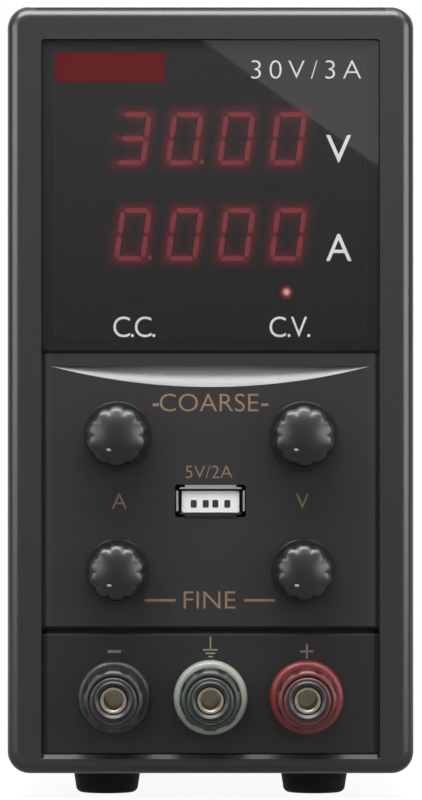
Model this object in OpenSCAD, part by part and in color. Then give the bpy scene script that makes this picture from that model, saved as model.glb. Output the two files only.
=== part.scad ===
// Compact bench power supply with two read-outs, four knobs, a charging port and three binding posts.
// Millimetres. The front faces -Y, +Z is up, and the origin is on the floor under the middle of the outline.

/* [Case] */
// Width of the front bezel, which is the widest piece
case_w = 84.7; // [80.7:0.5:90.7]
// Height of the bezel without the feet
case_h = 160; // [156:0.5:172]
// Depth from the bezel's face to the rear panel's outer face
case_d = 200; // [190:1:230]
// Depth of the moulded bezel
bezel_d = 16; // [15.5:0.5:19]
// Radius of the case's corners, seen from the front
corner_r = 4.6; // [3.6:0.1:6]
// Radius of the rounding along the bezel's front edge
rim_r = 2.6; // [1.6:0.1:3.2]
// Wall of the bezel moulding
bezel_wall = 3; // [2.8:0.1:3.6]
// Thickness of the steel sheet
sheet_t = 1; // [0.8:0.1:1.2]
// How far the steel cover stands inside the bezel's outline
cover_inset = 0.6; // [0.3:0.1:1]
// Height of the rubber feet
foot_h = 5.4; // [4:0.1:7]
// Diameter of a foot at its top
foot_top_d = 14.6; // [13.4:0.1:16]
// Diameter of a foot where it meets the floor
foot_floor_d = 13.2; // [11:0.1:14]
// Radius of a foot's rounded floor edge
foot_edge_r = 1.4; // [0.6:0.1:2]

/* [Front panels] */
// Width of the bezel's border beside the panels
side_border = 7.1; // [6.4:0.05:7.8]
// Height of the bezel's border above the window
top_border = 6.9; // [6.4:0.1:8]
// Height of the bezel's border below the panels
bottom_border = 4; // [3.8:0.1:5]
// Share of the opening's height that the smoked window takes
window_share = 0.436; // [0.42:0.002:0.45]
// Share of the opening's height that the terminal panel takes
terminal_share = 0.176; // [0.166:0.002:0.18]
// Thickness of the window
window_t = 2; // [1.5:0.1:2.2]
// Thickness of the control panel and the terminal panel
panel_t = 2.6; // [2.4:0.1:3]
// How far the window lies behind the bezel's face
window_recess = 1; // [0.5:0.1:1.3]
// How far the control panel lies behind the bezel's face
control_recess = 1.4; // [1:0.1:1.8]
// How far the terminal panel lies behind the bezel's face
terminal_recess = 2; // [1.6:0.1:2.4]
// Height of the scoop under the control panel's brow
scoop_h = 4.4; // [3:0.1:4.6]
// Slope of the scoop's surface under the brow, from the panel's plane
scoop_top_slope = 16; // [8:1:24]
// Slope of the scoop's surface at its lower lip
scoop_lip_slope = 44; // [34:1:46]
// Height of the brow above the scoop
brow_h = 2.6; // [2:0.1:3]

/* [Controls] */
// Share of the opening's width between the two columns of knobs
knob_share = 0.55; // [0.53:0.005:0.58]
// Share of the control panel's height above the coarse row
coarse_share = 0.303; // [0.29:0.001:0.31]
// Share of the control panel's height between the coarse row and the fine row
row_share = 0.496; // [0.47:0.001:0.5]
// Grip diameter of the coarse knobs
coarse_d = 13.2; // [12.8:0.1:15]
// Grip diameter of the fine knobs
fine_d = 12.4; // [12:0.1:14]
// How far the knobs stand out from the control panel
knob_len = 12.5; // [11.5:0.1:14]
// Number of flutes round a knob
knob_flutes = 10; // [8:1:12]
// Diameter of a potentiometer's shaft
shaft_d = 6; // [5.6:0.1:6.2]
// Diameter of a potentiometer's body
pot_d = 16.4; // [15:0.1:17]

/* [Binding posts] */
// Share of the opening's width between neighbouring posts
post_pitch_share = 0.284; // [0.27:0.002:0.3]
// Share of the terminal panel's height below the posts
post_share = 0.455; // [0.45:0.005:0.49]
// Bore of the socket, for a 4 mm banana plug
socket_bore_d = 4; // [3.9:0.05:4.1]
// Depth of the socket's bore
socket_depth = 18; // [16:0.5:19]
// Outer diameter of the metal socket
socket_d = 5.4; // [5.2:0.1:5.8]
// Outer diameter of the coloured collar
collar_d = 15.4; // [14.6:0.1:16.4]
// Thickness of the collar
collar_t = 4.5; // [3.5:0.1:5]
// Outer diameter of the cap
cap_d = 12.8; // [12:0.1:13.4]
// Length of the cap
cap_len = 10.5; // [9.5:0.1:12]
// How far the cap unscrews
cap_travel = 4; // [3:0.5:4.5]

/* [Displays] */
// Height of a digit
digit_h = 11.4; // [10:0.1:12]
// Distance between neighbouring digits
digit_pitch = 10.8; // [10.4:0.1:11]
// Width of a segment
segment_w = 1.1; // [0.9:0.05:1.3]
// Share of the window's height above the middle of the volts read-out
volts_share = 0.317; // [0.29:0.001:0.34]
// Share of the window's height between the two read-outs
readout_share = 0.308; // [0.29:0.001:0.32]

/* [Rear] */
// Side of the square fan
fan_w = 60; // [56:1:62]
// Depth of the fan
fan_d = 15; // [12:1:18]
// Number of fan blades
fan_blades = 7; // [5:1:9]
// Width of the mains inlet's body
inlet_w = 27; // [26.5:0.1:28]
// Height of the mains inlet's body
inlet_h = 31; // [30.5:0.1:32]

/* [Inside] */
// Air between the main board and the tray's sides
board_air = 4.15; // [3.5:0.05:6]
// Room behind the main board for the inlet and its leads
rear_room = 42; // [40:1:50]
// Height of the board's standoffs
standoff_h = 6; // [5:0.5:8]
// Diameter of a mains capacitor
mains_cap_d = 22; // [18:0.5:23]
// Height of a mains capacitor
mains_cap_h = 36; // [30:1:42]
// Height of the heatsinks
heatsink_h = 46; // [38:1:52]

/* [Hidden] */
$fn = 48;

// Clearances: a panel in its pocket, a loose lap, a running fit, and the air under a part that only rests
panel_gap = 0.2;
lap_gap = 0.25;
run_gap = 0.05;
seat_gap = 0.1;
// Cutters reach this far past what they cut
over = 1;

// Depths are measured back from the bezel's face, and at() turns one into a Y coordinate
front_reach = cap_len + collar_t + 1 - terminal_recess;
rear_reach = 4.2;
face_y = (front_reach - case_d - rear_reach) / 2;
function at(depth) = face_y + depth;

// Heights
case_z0 = foot_h;
case_z1 = foot_h + case_h;
mid_z = foot_h + case_h / 2;
open_w = case_w - 2 * side_border;
open_z0 = case_z0 + bottom_border;
open_z1 = case_z1 - top_border;
open_h = open_z1 - open_z0;
window_h = open_h * window_share;
window_z0 = open_z1 - window_h;
terminal_z1 = open_z0 + open_h * terminal_share;
control_z0 = terminal_z1 + 0.5;
control_z1 = window_z0 - 0.5;

// Seats of the three panels in the bezel, and the web behind them
window_seat = window_recess + window_t;
control_seat = control_recess + panel_t;
terminal_seat = terminal_recess + panel_t;
ledge = 2.5;
web_back = 7;

// Steel cover, tray and rear panel
cover_w = case_w - 2 * cover_inset;
cover_z1 = case_z1 - cover_inset;
cover_in_w = cover_w - 2 * sheet_t;
cover_in_z1 = cover_z1 - sheet_t;
cover_r = corner_r - cover_inset;
cover_edge_z = case_z0 + corner_r + 0.6;
tuck = 4;
tray_w = cover_in_w - 2 * lap_gap;
tray_z0 = case_z0 + cover_inset;
tray_floor = tray_z0 + sheet_t;
tray_lip_z = case_z0 + 18;
wall_d = bezel_d + seat_gap;
rear_in = case_d - sheet_t;

// Control places
control_h = control_z1 - control_z0;
coarse_z = control_z1 - control_h * coarse_share;
fine_z = coarse_z - control_h * row_share;
knob_x = open_w * knob_share / 2;
usb_z = (coarse_z + fine_z) / 2 + 0.6;
bushing_d = shaft_d + 1;
nut_t = 2;
bushing_len = 2.6;
knob_back = control_recess - 0.4;
knob_front = control_recess - knob_len;

// Front board, its bosses and the things on it
board_d = 12.5;
board_t = 1.6;
board_boss_x = open_w / 2 - 5.75;
board_boss_z = [open_z1 + 0.6, (control_z0 + terminal_z1) / 2];
bezel_boss_x = case_w / 2 - bezel_wall - 3.5;
bezel_boss_z = [case_z0 + bezel_wall + 4.6, case_z1 - bezel_wall - 3.6];
readout_pitch = window_h * readout_share;
volts_z = open_z1 - window_h * volts_share;
amps_z = volts_z - readout_pitch;
display_t = 8;
led_z = amps_z - readout_pitch * 0.6;
led_x = digit_pitch * 1.47;

// Binding posts
post_z = open_z0 + (terminal_z1 - open_z0) * post_share;
post_x = open_w * post_pitch_share * [-1, 0, 1];
washer_t = 1;
collar_front = terminal_recess - collar_t;
washer_front = collar_front - washer_t;
cap_front = washer_front - cap_len;
stem_end = terminal_seat + 11;

// Rear places
inlet_flange_h = inlet_h + 4;
inlet_back = 22;
tail_back = 29;
switch_flange_h = 15;
rear_air = case_h - fan_w - switch_flange_h - inlet_flange_h;
inlet_z = case_z0 + rear_air * 0.53 + inlet_flange_h / 2;
switch_z = inlet_z + inlet_flange_h / 2 + rear_air * 0.1 + switch_flange_h / 2;
fan_z = switch_z + switch_flange_h / 2 + rear_air * 0.13 + fan_w / 2;
fan_hole_pitch = fan_w - 10;

// Main board
floor_board_z = tray_floor + standoff_h;
floor_board_top = floor_board_z + board_t;
floor_board_y0 = 26;
board_w = tray_w - 2 * board_air;
board_len = case_d - rear_room - floor_board_y0;
board_end = floor_board_y0 + board_len;
screw_d = 3;
sink_r = 2.8;

// Charging port, in the connector's standard sizes
usb_w = 13.1;
usb_h = 5.7;
usb_wall = 0.35;

// A centred rectangle with round corners
module rounded_rect(w, h, r) {
  square([w - 2 * r, h], center = true);
  square([w, h - 2 * r], center = true);
  for (sx = [-1, 1], sy = [-1, 1]) translate([sx * (w / 2 - r), sy * (h / 2 - r)]) circle(r);
}

// A slot with round ends, centred, its length along the first axis
module slot(len, w) {
  square([len - w, w], center = true);
  for (s = [-1, 1]) translate([s * (len - w) / 2, 0]) circle(w / 2);
}

// Extrudes an outline drawn in X and Z, from one depth to another
module slab(depth, t) {
  translate([0, at(depth) + t, 0]) rotate([90, 0, 0]) linear_extrude(t) children();
}

// Revolves a profile of radius and depth about an axis that runs front to back
module turned(x, z, depth) {
  translate([x, at(depth), z]) rotate([-90, 0, 0]) rotate_extrude() children();
}

// A round bar that runs front to back
module bar(x, z, depth, len, d) {
  translate([x, at(depth), z]) rotate([-90, 0, 0]) cylinder(h = len, d = d);
}

// A hexagon prism that runs front to back
module hex_bar(x, z, depth, len, flats) {
  translate([x, at(depth), z]) rotate([-90, 0, 0]) cylinder(h = len, r = flats / 2 / cos(30), $fn = 6);
}

// A box from one corner to the opposite one, with depths in place of Y
module box(x, depth, z) {
  translate([x[0], at(depth[0]), z[0]]) cube([x[1] - x[0], depth[1] - depth[0], z[1] - z[0]]);
}

// Half of a pan-head screw's profile: head radius, head height, shank radius and shank length
module screw_profile(head_r, head_h, shank_r, shank_len) {
  difference() {
    union() {
      translate([0, -head_h]) square([head_r, head_h]);
      square([shank_r, shank_len]);
    }
    translate([0, -head_h - 0.01]) square([head_r * 0.3, head_h * 0.5]);
  }
}

// The bezel's edge in section: outward along the first axis, back along the second
module rim_profile() {
  translate([0, rim_r]) square([corner_r, bezel_d - rim_r]);
  square([corner_r - rim_r, bezel_d]);
  intersection() {
    translate([corner_r - rim_r, rim_r]) circle(rim_r);
    square([corner_r, bezel_d]);
  }
}

// The bezel's outer form: one profile swept along four sides and turned round four corners
module bezel_form() {
  half_w = case_w / 2 - corner_r;
  half_h = case_h / 2 - corner_r;
  corners = [[1, -1], [-1, -1], [-1, 1], [1, 1]];
  translate([0, at(0), mid_z]) {
    for (q = [0:3])
      translate([corners[q][0] * half_w, 0, corners[q][1] * half_h])
        rotate([-90, 0, 0]) rotate([0, 0, q * 90]) rotate_extrude(angle = 90) rim_profile();
    for (m = [0, 1]) {
      mirror([m, 0, 0]) translate([half_w, 0, -half_h]) linear_extrude(2 * half_h) rim_profile();
      mirror([0, 0, m]) translate([half_w, 0, half_h]) rotate([0, -90, 0])
        linear_extrude(2 * half_w) rim_profile();
    }
    translate([-half_w, 0, -half_h]) cube([2 * half_w, bezel_d, 2 * half_h]);
  }
}

// A panel's pocket or aperture outline between two heights, drawn in by a margin
module opening(z0, z1, margin) {
  translate([0, (z0 + z1) / 2]) rounded_rect(open_w - 2 * margin, z1 - z0 - 2 * margin, 0.6);
}

module front_bezel() color("dimgray") difference() {
  union() {
    difference() {
      bezel_form();
      // rear cavity, and the step that the steel cover slides over
      slab(web_back, bezel_d)
        translate([0, mid_z]) rounded_rect(case_w - 2 * bezel_wall, case_h - 2 * bezel_wall, corner_r - 2);
      slab(bezel_d - tuck, tuck + over) difference() {
        translate([-case_w / 2 - over, cover_edge_z - lap_gap]) square([case_w + 2 * over, case_h]);
        translate([0, (tray_floor + cover_in_z1) / 2])
          rounded_rect(tray_w, cover_in_z1 - tray_floor - 2 * lap_gap, cover_r - sheet_t);
      }
    }
    for (sx = [-1, 1], z = bezel_boss_z)
      bar(sx * bezel_boss_x, z, web_back - 0.5, bezel_d - web_back + 0.5, 6.6);
    for (sx = [-1, 1], z = board_boss_z)
      bar(sx * board_boss_x, z, web_back - 0.5, board_d - web_back + 0.5, 5);
  }
  // stepped pockets for the window, the control panel and the terminal panel
  slab(-over, window_seat + over) opening(open_z0, open_z1, 0);
  slab(0, control_seat) opening(open_z0, control_z1 + panel_gap, 0);
  slab(0, terminal_seat) opening(open_z0, terminal_z1 + panel_gap, 0);
  // apertures through the web
  slab(0, bezel_d / 2) {
    opening(window_z0, open_z1, ledge);
    opening(control_z0, control_z1, ledge);
    opening(open_z0, terminal_z1, ledge);
  }
  // bright lower lip of the opening
  translate([-open_w / 2, at(0), open_z0]) rotate([0, 90, 0])
    linear_extrude(open_w) polygon([[-0.01, -0.01], [0.9, -0.01], [-0.01, 0.9]]);
  for (sx = [-1, 1], z = bezel_boss_z) bar(sx * bezel_boss_x, z, bezel_d - 7, 7 + over, screw_d - 0.5);
  for (sx = [-1, 1], z = board_boss_z) bar(sx * board_boss_x, z, board_d - 6, 6 + over, 2);
}

module display_window() color([0.08, 0.08, 0.09, 0.6])
  slab(window_recess, window_t) opening(window_z0, open_z1, panel_gap);

// A cove under the brow. Its section is an arc between two slopes, and it is turned about a far centre,
// so that the brow cuts it straight above and its lip is a shallow curve below
scoop_r = scoop_h / (sin(scoop_lip_slope) - sin(scoop_top_slope));
scoop_depth = scoop_r * (cos(scoop_top_slope) - cos(scoop_lip_slope));
module scoop() {
  half_chord = open_w / 2 - 1.6;
  lip_r = (half_chord * half_chord + scoop_h * scoop_h) / (2 * scoop_h);
  top_z = control_z1 - brow_h;
  intersection() {
    turned(0, top_z - scoop_h + lip_r, control_recess) intersection() {
      translate([lip_r - scoop_r * sin(scoop_lip_slope), -scoop_r * cos(scoop_lip_slope)])
        circle(scoop_r, $fn = 128);
      translate([lip_r - scoop_h - 0.01, -over]) square([2 * scoop_h, scoop_depth + 2 * over]);
    }
    box([-open_w / 2, open_w / 2], [control_recess - over, control_seat], [top_z - 2 * scoop_h, top_z]);
  }
}

rib_h = scoop_h + 1.3;
module control_panel() color([0.16, 0.16, 0.17]) difference() {
  union() {
    slab(control_recess, panel_t) difference() {
      opening(control_z0, control_z1, 0);
      for (sx = [-1, 1], z = [coarse_z, fine_z]) translate([sx * knob_x, z]) circle(d = bushing_d + 0.2);
      translate([0, usb_z]) rounded_rect(usb_w + 1.7, usb_h + 1.1, 0.5);
    }
    // rib that thickens the panel behind the scoop
    slab(control_seat - 0.1, 1.5) translate([0, control_z1 - ledge - 0.2 - rib_h / 2])
      square([open_w - 2 * ledge - 1, rib_h], center = true);
  }
  scoop();
}

module terminal_panel() color([0.13, 0.13, 0.14]) difference() {
  slab(terminal_recess, panel_t) difference() {
    opening(open_z0, terminal_z1, panel_gap);
    for (x = post_x) translate([x, post_z]) circle(d = 8.2);
  }
  // light-catching chamfer along the top edge
  translate([-open_w / 2, at(terminal_recess), terminal_z1 - panel_gap]) rotate([0, 90, 0])
    linear_extrude(open_w) polygon([[1, -0.01], [-0.01, -0.01], [-0.01, 1]]);
}

// Section of the folded cover: top and two sides with round folds
module cover_section() {
  mid = (case_z0 + cover_z1) / 2;
  difference() {
    translate([0, mid]) rounded_rect(cover_w, cover_z1 - case_z0, cover_r);
    translate([0, mid]) rounded_rect(cover_in_w, cover_z1 - case_z0 - 2 * sheet_t, cover_r - sheet_t);
    translate([-case_w / 2, case_z0 - over]) square([case_w, cover_edge_z - case_z0 + over]);
  }
}

vent_w = 2.6;
vent_len = case_h * 0.1375;
vent_count = 16;
vent_d0 = case_d * 0.31;
vent_step = (case_d * 0.835 - vent_d0) / (vent_count - 1);
vent_rows = [case_z0 + case_h * 0.2875, case_z0 + case_h * 0.7];
side_screws = [[30, case_z0 + 11], [case_d - 28, case_z0 + 11], [case_d - 6, case_z0 + case_h * 0.6]];

// A row of upright slots through both sides
module side_vents(z) {
  for (i = [0:vent_count - 1])
    translate([-case_w, at(vent_d0 + i * vent_step), z]) rotate([0, 90, 0])
      linear_extrude(2 * case_w) slot(vent_len, vent_w);
}

module top_cover() color("dimgray") difference() {
  slab(bezel_d - tuck + lap_gap, case_d - bezel_d + tuck - lap_gap) cover_section();
  for (z = vent_rows) side_vents(z);
  for (m = [0, 1], s = side_screws) mirror([m, 0, 0])
    translate([cover_w / 2, at(s[0]), s[1]]) rotate([0, -90, 0]) rotate_extrude() polygon([
      [0, -0.5], [sink_r + 0.6, -0.5], [screw_d / 2 + seat_gap, sink_r - screw_d / 2],
      [screw_d / 2 + seat_gap, 3], [0, 3]
    ]);
}

// Folded tray: floor with rounded long edges, low side lips and the upright wall behind the bezel
module tray_section() {
  difference() {
    translate([0, (tray_z0 + case_z1) / 2]) rounded_rect(tray_w, case_z1 - tray_z0, cover_r - 1);
    translate([0, (tray_z0 + case_z1) / 2])
      rounded_rect(tray_w - 2 * sheet_t, case_z1 - tray_z0 - 2 * sheet_t, cover_r - 1 - sheet_t);
    translate([-case_w / 2, tray_lip_z]) square([case_w, case_h]);
  }
}

floor_vent_x = tray_w * [-0.3, -0.15, 0.15, 0.3];
floor_vent_d = case_d * [0.35, 0.5, 0.65];
foot_x = tray_w * 0.2715;
foot_d0 = 26;
foot_d1 = case_d - 20;
foot_recess = 2.2;

module chassis_tray() color("silver") difference() {
  union() {
    slab(wall_d, rear_in - wall_d) tray_section();
    slab(wall_d, sheet_t) translate([0, (tray_z0 + cover_in_z1) / 2])
      rounded_rect(tray_w, cover_in_z1 - 2 * lap_gap - tray_z0, cover_r - 1);
  }
  // wiring window in the front wall, and its screw holes
  slab(wall_d - over, sheet_t + 2 * over) {
    translate([0, (open_z1 + open_z0 + 12) / 2]) rounded_rect(open_w - 5.5, open_z1 - open_z0 - 5, 2);
    for (sx = [-1, 1], z = bezel_boss_z) translate([sx * bezel_boss_x, z]) circle(d = screw_d + 0.4);
  }
  for (x = floor_vent_x, d = floor_vent_d)
    translate([x, at(d), tray_z0 - over]) rotate([0, 0, 90]) linear_extrude(sheet_t + 2 * over) slot(20, 4);
  for (x = [-foot_x, foot_x], d = [foot_d0, foot_d1])
    translate([x, at(d), tray_z0 - over]) cylinder(h = sheet_t + 2 * over, d = screw_d + 0.4);
  for (p = standoff_places())
    translate([p[0], at(p[1]), tray_z0 - over]) cylinder(h = sheet_t + 2 * over, d = 2.6);
  for (i = [0, 1]) translate([-case_w, at(side_screws[i][0]), side_screws[i][1]]) rotate([0, 90, 0])
    cylinder(h = 2 * case_w, d = screw_d + 0.1);
}

// Ring slots of the fan's guard, with four spokes left standing
module fan_slots() {
  ring_step = (fan_w / 2 - 7) / 5;
  for (i = [1:5]) difference() {
    circle(r = 5 + i * ring_step);
    circle(r = 5 + i * ring_step - ring_step + 1.5);
    for (a = [45, 135]) rotate(a) square([fan_w * 2, 3], center = true);
  }
}

module rear_panel() color("dimgray") difference() {
  rear_z1 = cover_in_z1 - lap_gap;
  union() {
    slab(rear_in, sheet_t) translate([0, (tray_z0 + rear_z1) / 2])
      rounded_rect(tray_w, rear_z1 - tray_z0, cover_r - 1);
    // side flanges that take the cover's upper screws
    for (sx = [-1, 1]) box(sx > 0 ? [tray_w / 2 - sheet_t, tray_w / 2] : [-tray_w / 2, sheet_t - tray_w / 2],
      [rear_in - 12, rear_in], [tray_lip_z + 1, rear_z1 - cover_r]);
  }
  slab(rear_in - over, sheet_t + 2 * over) {
    translate([0, fan_z]) fan_slots();
    for (sx = [-1, 1], sz = [-1, 1])
      translate([sx * fan_hole_pitch / 2, fan_z + sz * fan_hole_pitch / 2]) circle(d = 4.4);
    translate([0, inlet_z]) rounded_rect(inlet_w + 0.4, inlet_h + 0.4, 1);
    translate([-12, switch_z]) rounded_rect(19.4, 13.4, 0.5);
    translate([14, switch_z]) rounded_rect(18.4, 9.4, 0.5);
  }
  translate([-case_w, at(side_screws[2][0]), side_screws[2][1]]) rotate([0, 90, 0])
    cylinder(h = 2 * case_w, d = screw_d + 0.1);
}

// Countersunk screws in the cover's sides, and pan-head screws for the bezel and the front board
module case_screws() color("darkgray") {
  for (m = [0, 1], s = side_screws) mirror([m, 0, 0])
    translate([cover_w / 2, at(s[0]), s[1]]) rotate([0, -90, 0]) rotate_extrude() difference() {
      polygon([[0, 0], [sink_r, 0], [screw_d / 2, sink_r - screw_d / 2], [screw_d / 2, 5.5], [0, 5.5]]);
      translate([0, -0.01]) square([0.9, 0.8]);
    }
  for (sx = [-1, 1], z = bezel_boss_z) translate([sx * bezel_boss_x, at(wall_d + sheet_t + seat_gap), z])
    rotate([90, 0, 0]) rotate_extrude() screw_profile(2.8, 1.8, (screw_d - 0.6) / 2, 7);
  for (sx = [-1, 1], z = board_boss_z) translate([sx * board_boss_x, at(board_d + board_t + seat_gap), z])
    rotate([90, 0, 0]) rotate_extrude() screw_profile(2.1, 1.3, 0.95, 6);
}

// Tapered foot with a rounded floor edge and a recess for its screw
module rubber_feet() color([0.07, 0.07, 0.07]) for (x = [-foot_x, foot_x], d = [foot_d0, foot_d1])
  translate([x, at(d), 0]) rotate_extrude() difference() {
    union() {
      polygon([
        [0, 0], [foot_floor_d / 2 - foot_edge_r, 0], [foot_floor_d / 2, foot_edge_r],
        [foot_top_d / 2, tray_z0],
        [0, tray_z0]
      ]);
      translate([foot_floor_d / 2 - foot_edge_r, foot_edge_r]) circle(foot_edge_r);
    }
    translate([0, -0.01]) square([3.2, foot_recess]);
    square([screw_d / 2 + 0.2, tray_z0 + over]);
  }

module foot_screws() color("darkgray") for (x = [-foot_x, foot_x], d = [foot_d0, foot_d1])
  translate([x, at(d), foot_recess - seat_gap]) rotate_extrude()
    screw_profile(2.8, 1.6, screw_d / 2, tray_floor - foot_recess + 3);

// Fluted knob: a turned body with a domed face, a dark skirt and scallops round its grip
module knob(x, z, grip_d) color([0.12, 0.12, 0.13]) {
  grip_r = grip_d / 2;
  edge_r = 1.2;
  skirt_h = 2.8;
  hollow_h = 2.6;
  // the dome's radius, and the centre of the edge's arc that touches it from inside
  dome_r = grip_d * 1.15;
  edge_x = grip_r - edge_r;
  edge_z = dome_r - sqrt(pow(dome_r - edge_r, 2) - edge_x * edge_x);
  len = knob_back - knob_front;
  difference() {
    turned(x, z, knob_front) difference() {
      union() {
        // dome, rounded edge, grip and skirt
        intersection() {
          square([edge_x * dome_r / (dome_r - edge_r), edge_z]);
          translate([0, dome_r]) circle(dome_r, $fn = 128);
        }
        translate([edge_x, edge_z]) circle(edge_r);
        translate([0, edge_z]) square([grip_r, len - edge_z]);
        translate([0, len - skirt_h]) square([grip_r + 0.6, skirt_h]);
      }
      // hollow over the bushing's nut, and the shaft's bore
      translate([0, len - hollow_h]) square([5.8, hollow_h + over]);
      translate([0, 3]) square([shaft_d / 2 + run_gap, len]);
      translate([-2 * grip_r, -over]) square([2 * grip_r, len + 2 * over]);
    }
    // scallops, cut only where the grip is
    for (i = [0:knob_flutes - 1]) {
      a = (i + 0.5) * 360 / knob_flutes + 90;
      r = grip_r + 0.75;
      bar(x + r * cos(a), z + r * sin(a), knob_front - over, len - skirt_h + over, 2.9);
    }
    // pointer dimple, towards seven o'clock when the control is at its minimum
    bar(x + grip_r * 0.46 * cos(240), z + grip_r * 0.46 * sin(240), knob_front - over, over + 0.8, 0.7);
  }
}

module coarse_current_knob() knob(-knob_x, coarse_z, coarse_d);
module coarse_voltage_knob() knob(knob_x, coarse_z, coarse_d);
module fine_current_knob() knob(-knob_x, fine_z, fine_d);
module fine_voltage_knob() knob(knob_x, fine_z, fine_d);

// Potentiometer shaft, held in the knob and turning in the bushing
module pot_shaft(x, z) color("silver")
  bar(x, z, knob_front + 3.2, control_seat + 3 - knob_front - 3.2, shaft_d);

module coarse_current_shaft() pot_shaft(-knob_x, coarse_z);
module coarse_voltage_shaft() pot_shaft(knob_x, coarse_z);
module fine_current_shaft() pot_shaft(-knob_x, fine_z);
module fine_voltage_shaft() pot_shaft(knob_x, fine_z);

// Four potentiometers, each with its body, threaded bushing, nut and three pins
module potentiometers() color("lightslategray") for (sx = [-1, 1], z = [coarse_z, fine_z]) {
  difference() {
    union() {
      bar(sx * knob_x, z, control_seat, board_d - seat_gap - control_seat, pot_d);
      bar(sx * knob_x, z, control_recess - bushing_len, panel_t + bushing_len + 0.5, bushing_d);
    }
    bar(sx * knob_x, z, control_recess - bushing_len - over, panel_t + bushing_len + over + 3.2,
      shaft_d + 2 * run_gap);
  }
  difference() {
    hex_bar(sx * knob_x, z, control_recess - nut_t, nut_t, 9.4);
    bar(sx * knob_x, z, control_recess - nut_t - over, nut_t + 2 * over, bushing_d + 2 * run_gap);
  }
}

// Insulating collar on the panel, with a spigot that passes through it
module collar(x) difference() {
  turned(x, post_z, collar_front) difference() {
    union() {
      translate([0, 1]) square([collar_d / 2, collar_t - 1]);
      square([collar_d / 2 - 1, collar_t]);
      translate([collar_d / 2 - 1, 1]) circle(1);
      square([4, collar_t + panel_t]);
    }
    translate([-over, -over]) square([socket_d / 2 + run_gap + over, collar_t + panel_t + 2 * over]);
  }
}

module negative_collar() color([0.1, 0.1, 0.1]) collar(post_x[0]);
module ground_collar() color([0.65, 0.8, 0.66]) collar(post_x[1]);
module positive_collar() color([0.6, 0.12, 0.12]) collar(post_x[2]);

// Fluted thumb nut with a wide mouth round the socket's tip
module cap(x) difference() {
  turned(x, post_z, cap_front) difference() {
    union() {
      translate([0, 1.2]) square([cap_d / 2, cap_len - 1.2]);
      square([cap_d / 2 - 1.2, cap_len]);
      translate([cap_d / 2 - 1.2, 1.2]) circle(1.2);
    }
    translate([-over, -over]) square([socket_d / 2 + run_gap + over, cap_len + 2 * over]);
    polygon([[0, -0.01], [4, -0.01], [3.4, 0.6], [3.4, 2.6], [0, 2.6]]);
    // ring groove that sets off the grip from the face
    translate([4.9, -0.01]) square([0.35, 0.4]);
  }
  for (i = [0:7]) {
    a = (i + 0.5) * 45;
    r = cap_d / 2 + 1.9;
    bar(x + r * cos(a), post_z + r * sin(a), cap_front - over, cap_len - 1.5 + over, 5);
  }
}

module negative_cap() color([0.14, 0.14, 0.15]) cap(post_x[0]);
module ground_cap() color([0.2, 0.25, 0.22]) cap(post_x[1]);
module positive_cap() color([0.35, 0.1, 0.1]) cap(post_x[2]);

// Captive clamp washer that travels with the cap
module washer(x) color("silver") turned(x, post_z, washer_front + run_gap)
  translate([socket_d / 2 + run_gap, 0]) square([5 - socket_d / 2 - run_gap, washer_t - 2 * run_gap]);

module negative_washer() washer(post_x[0]);
module ground_washer() washer(post_x[1]);
module positive_washer() washer(post_x[2]);

// Plated stem with the plug's bore in front and a threaded tail behind
module socket(x) color("gainsboro") turned(x, post_z, cap_front + 0.4) difference() {
  union() {
    square([socket_d / 2, stem_end - cap_front - 0.4 - 8]);
    square([2, stem_end - cap_front - 0.4]);
  }
  translate([-over, -over]) square([socket_bore_d / 2 + over, socket_depth + over]);
  polygon([[0, -0.01], [socket_bore_d / 2 + 0.3, -0.01], [socket_bore_d / 2, 0.3], [0, 0.3]]);
}

module negative_socket() socket(post_x[0]);
module ground_socket() socket(post_x[1]);
module positive_socket() socket(post_x[2]);

// Behind each post: an insulating ring, a solder tag and two nuts
nut_d0 = terminal_seat + 2.1;
tag_d0 = nut_d0 + 3;
module post_nuts() color("gold") for (x = post_x) {
  difference() {
    bar(x, post_z, terminal_seat, 2, 12);
    bar(x, post_z, terminal_seat - over, 2 + 2 * over, socket_d + 2 * run_gap);
  }
  difference() {
    union() {
      hex_bar(x, post_z, nut_d0, 3, 7);
      hex_bar(x, post_z, tag_d0 + 0.6, 2.5, 7);
      slab(tag_d0 - 0.1, 0.8) {
        translate([x, post_z]) circle(3.5);
        translate([x, post_z + 5]) square([2.6, 8], center = true);
      }
    }
    bar(x, post_z, terminal_seat, 14, 4 + 2 * run_gap);
    bar(x, post_z, terminal_seat, stem_end - 8 - terminal_seat + seat_gap, socket_d + 2 * run_gap);
  }
}

// Board behind the panels that carries the read-outs, lamps, controls and charging port
module front_board() color("darkgreen") slab(board_d, board_t) difference() {
  z0 = board_boss_z[1] - 3;
  z1 = board_boss_z[0] + 2.7;
  translate([0, (z0 + z1) / 2]) rounded_rect(open_w - 6.5, z1 - z0, 1);
  for (sx = [-1, 1], z = board_boss_z) translate([sx * board_boss_x, z]) circle(d = 2.6);
  for (sx = [-1, 1], z = [coarse_z, fine_z], i = [-1:1])
    translate([sx * knob_x + i * 5, z - 6.6]) circle(d = 1);
}

// One leaning seven-segment digit, as outlines
module digit(slant) multmatrix([[1, tan(slant), 0, 0], [0, 1, 0, 0]]) {
  half = digit_h / 2 - segment_w / 2;
  side = 5.9 / 2 - segment_w / 2;
  for (y = [-half, 0, half]) translate([0, y]) segment(2 * side - segment_w - 0.3);
  for (x = [-side, side], y = [-half / 2, half / 2])
    translate([x, y]) rotate(90) segment(half - segment_w - 0.3);
}

// One segment with pointed ends
module segment(len) polygon([
  [-len / 2, -segment_w / 2], [len / 2, -segment_w / 2], [len / 2 + segment_w / 2, 0],
  [len / 2, segment_w / 2], [-len / 2, segment_w / 2], [-len / 2 - segment_w / 2, 0]
]);

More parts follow.
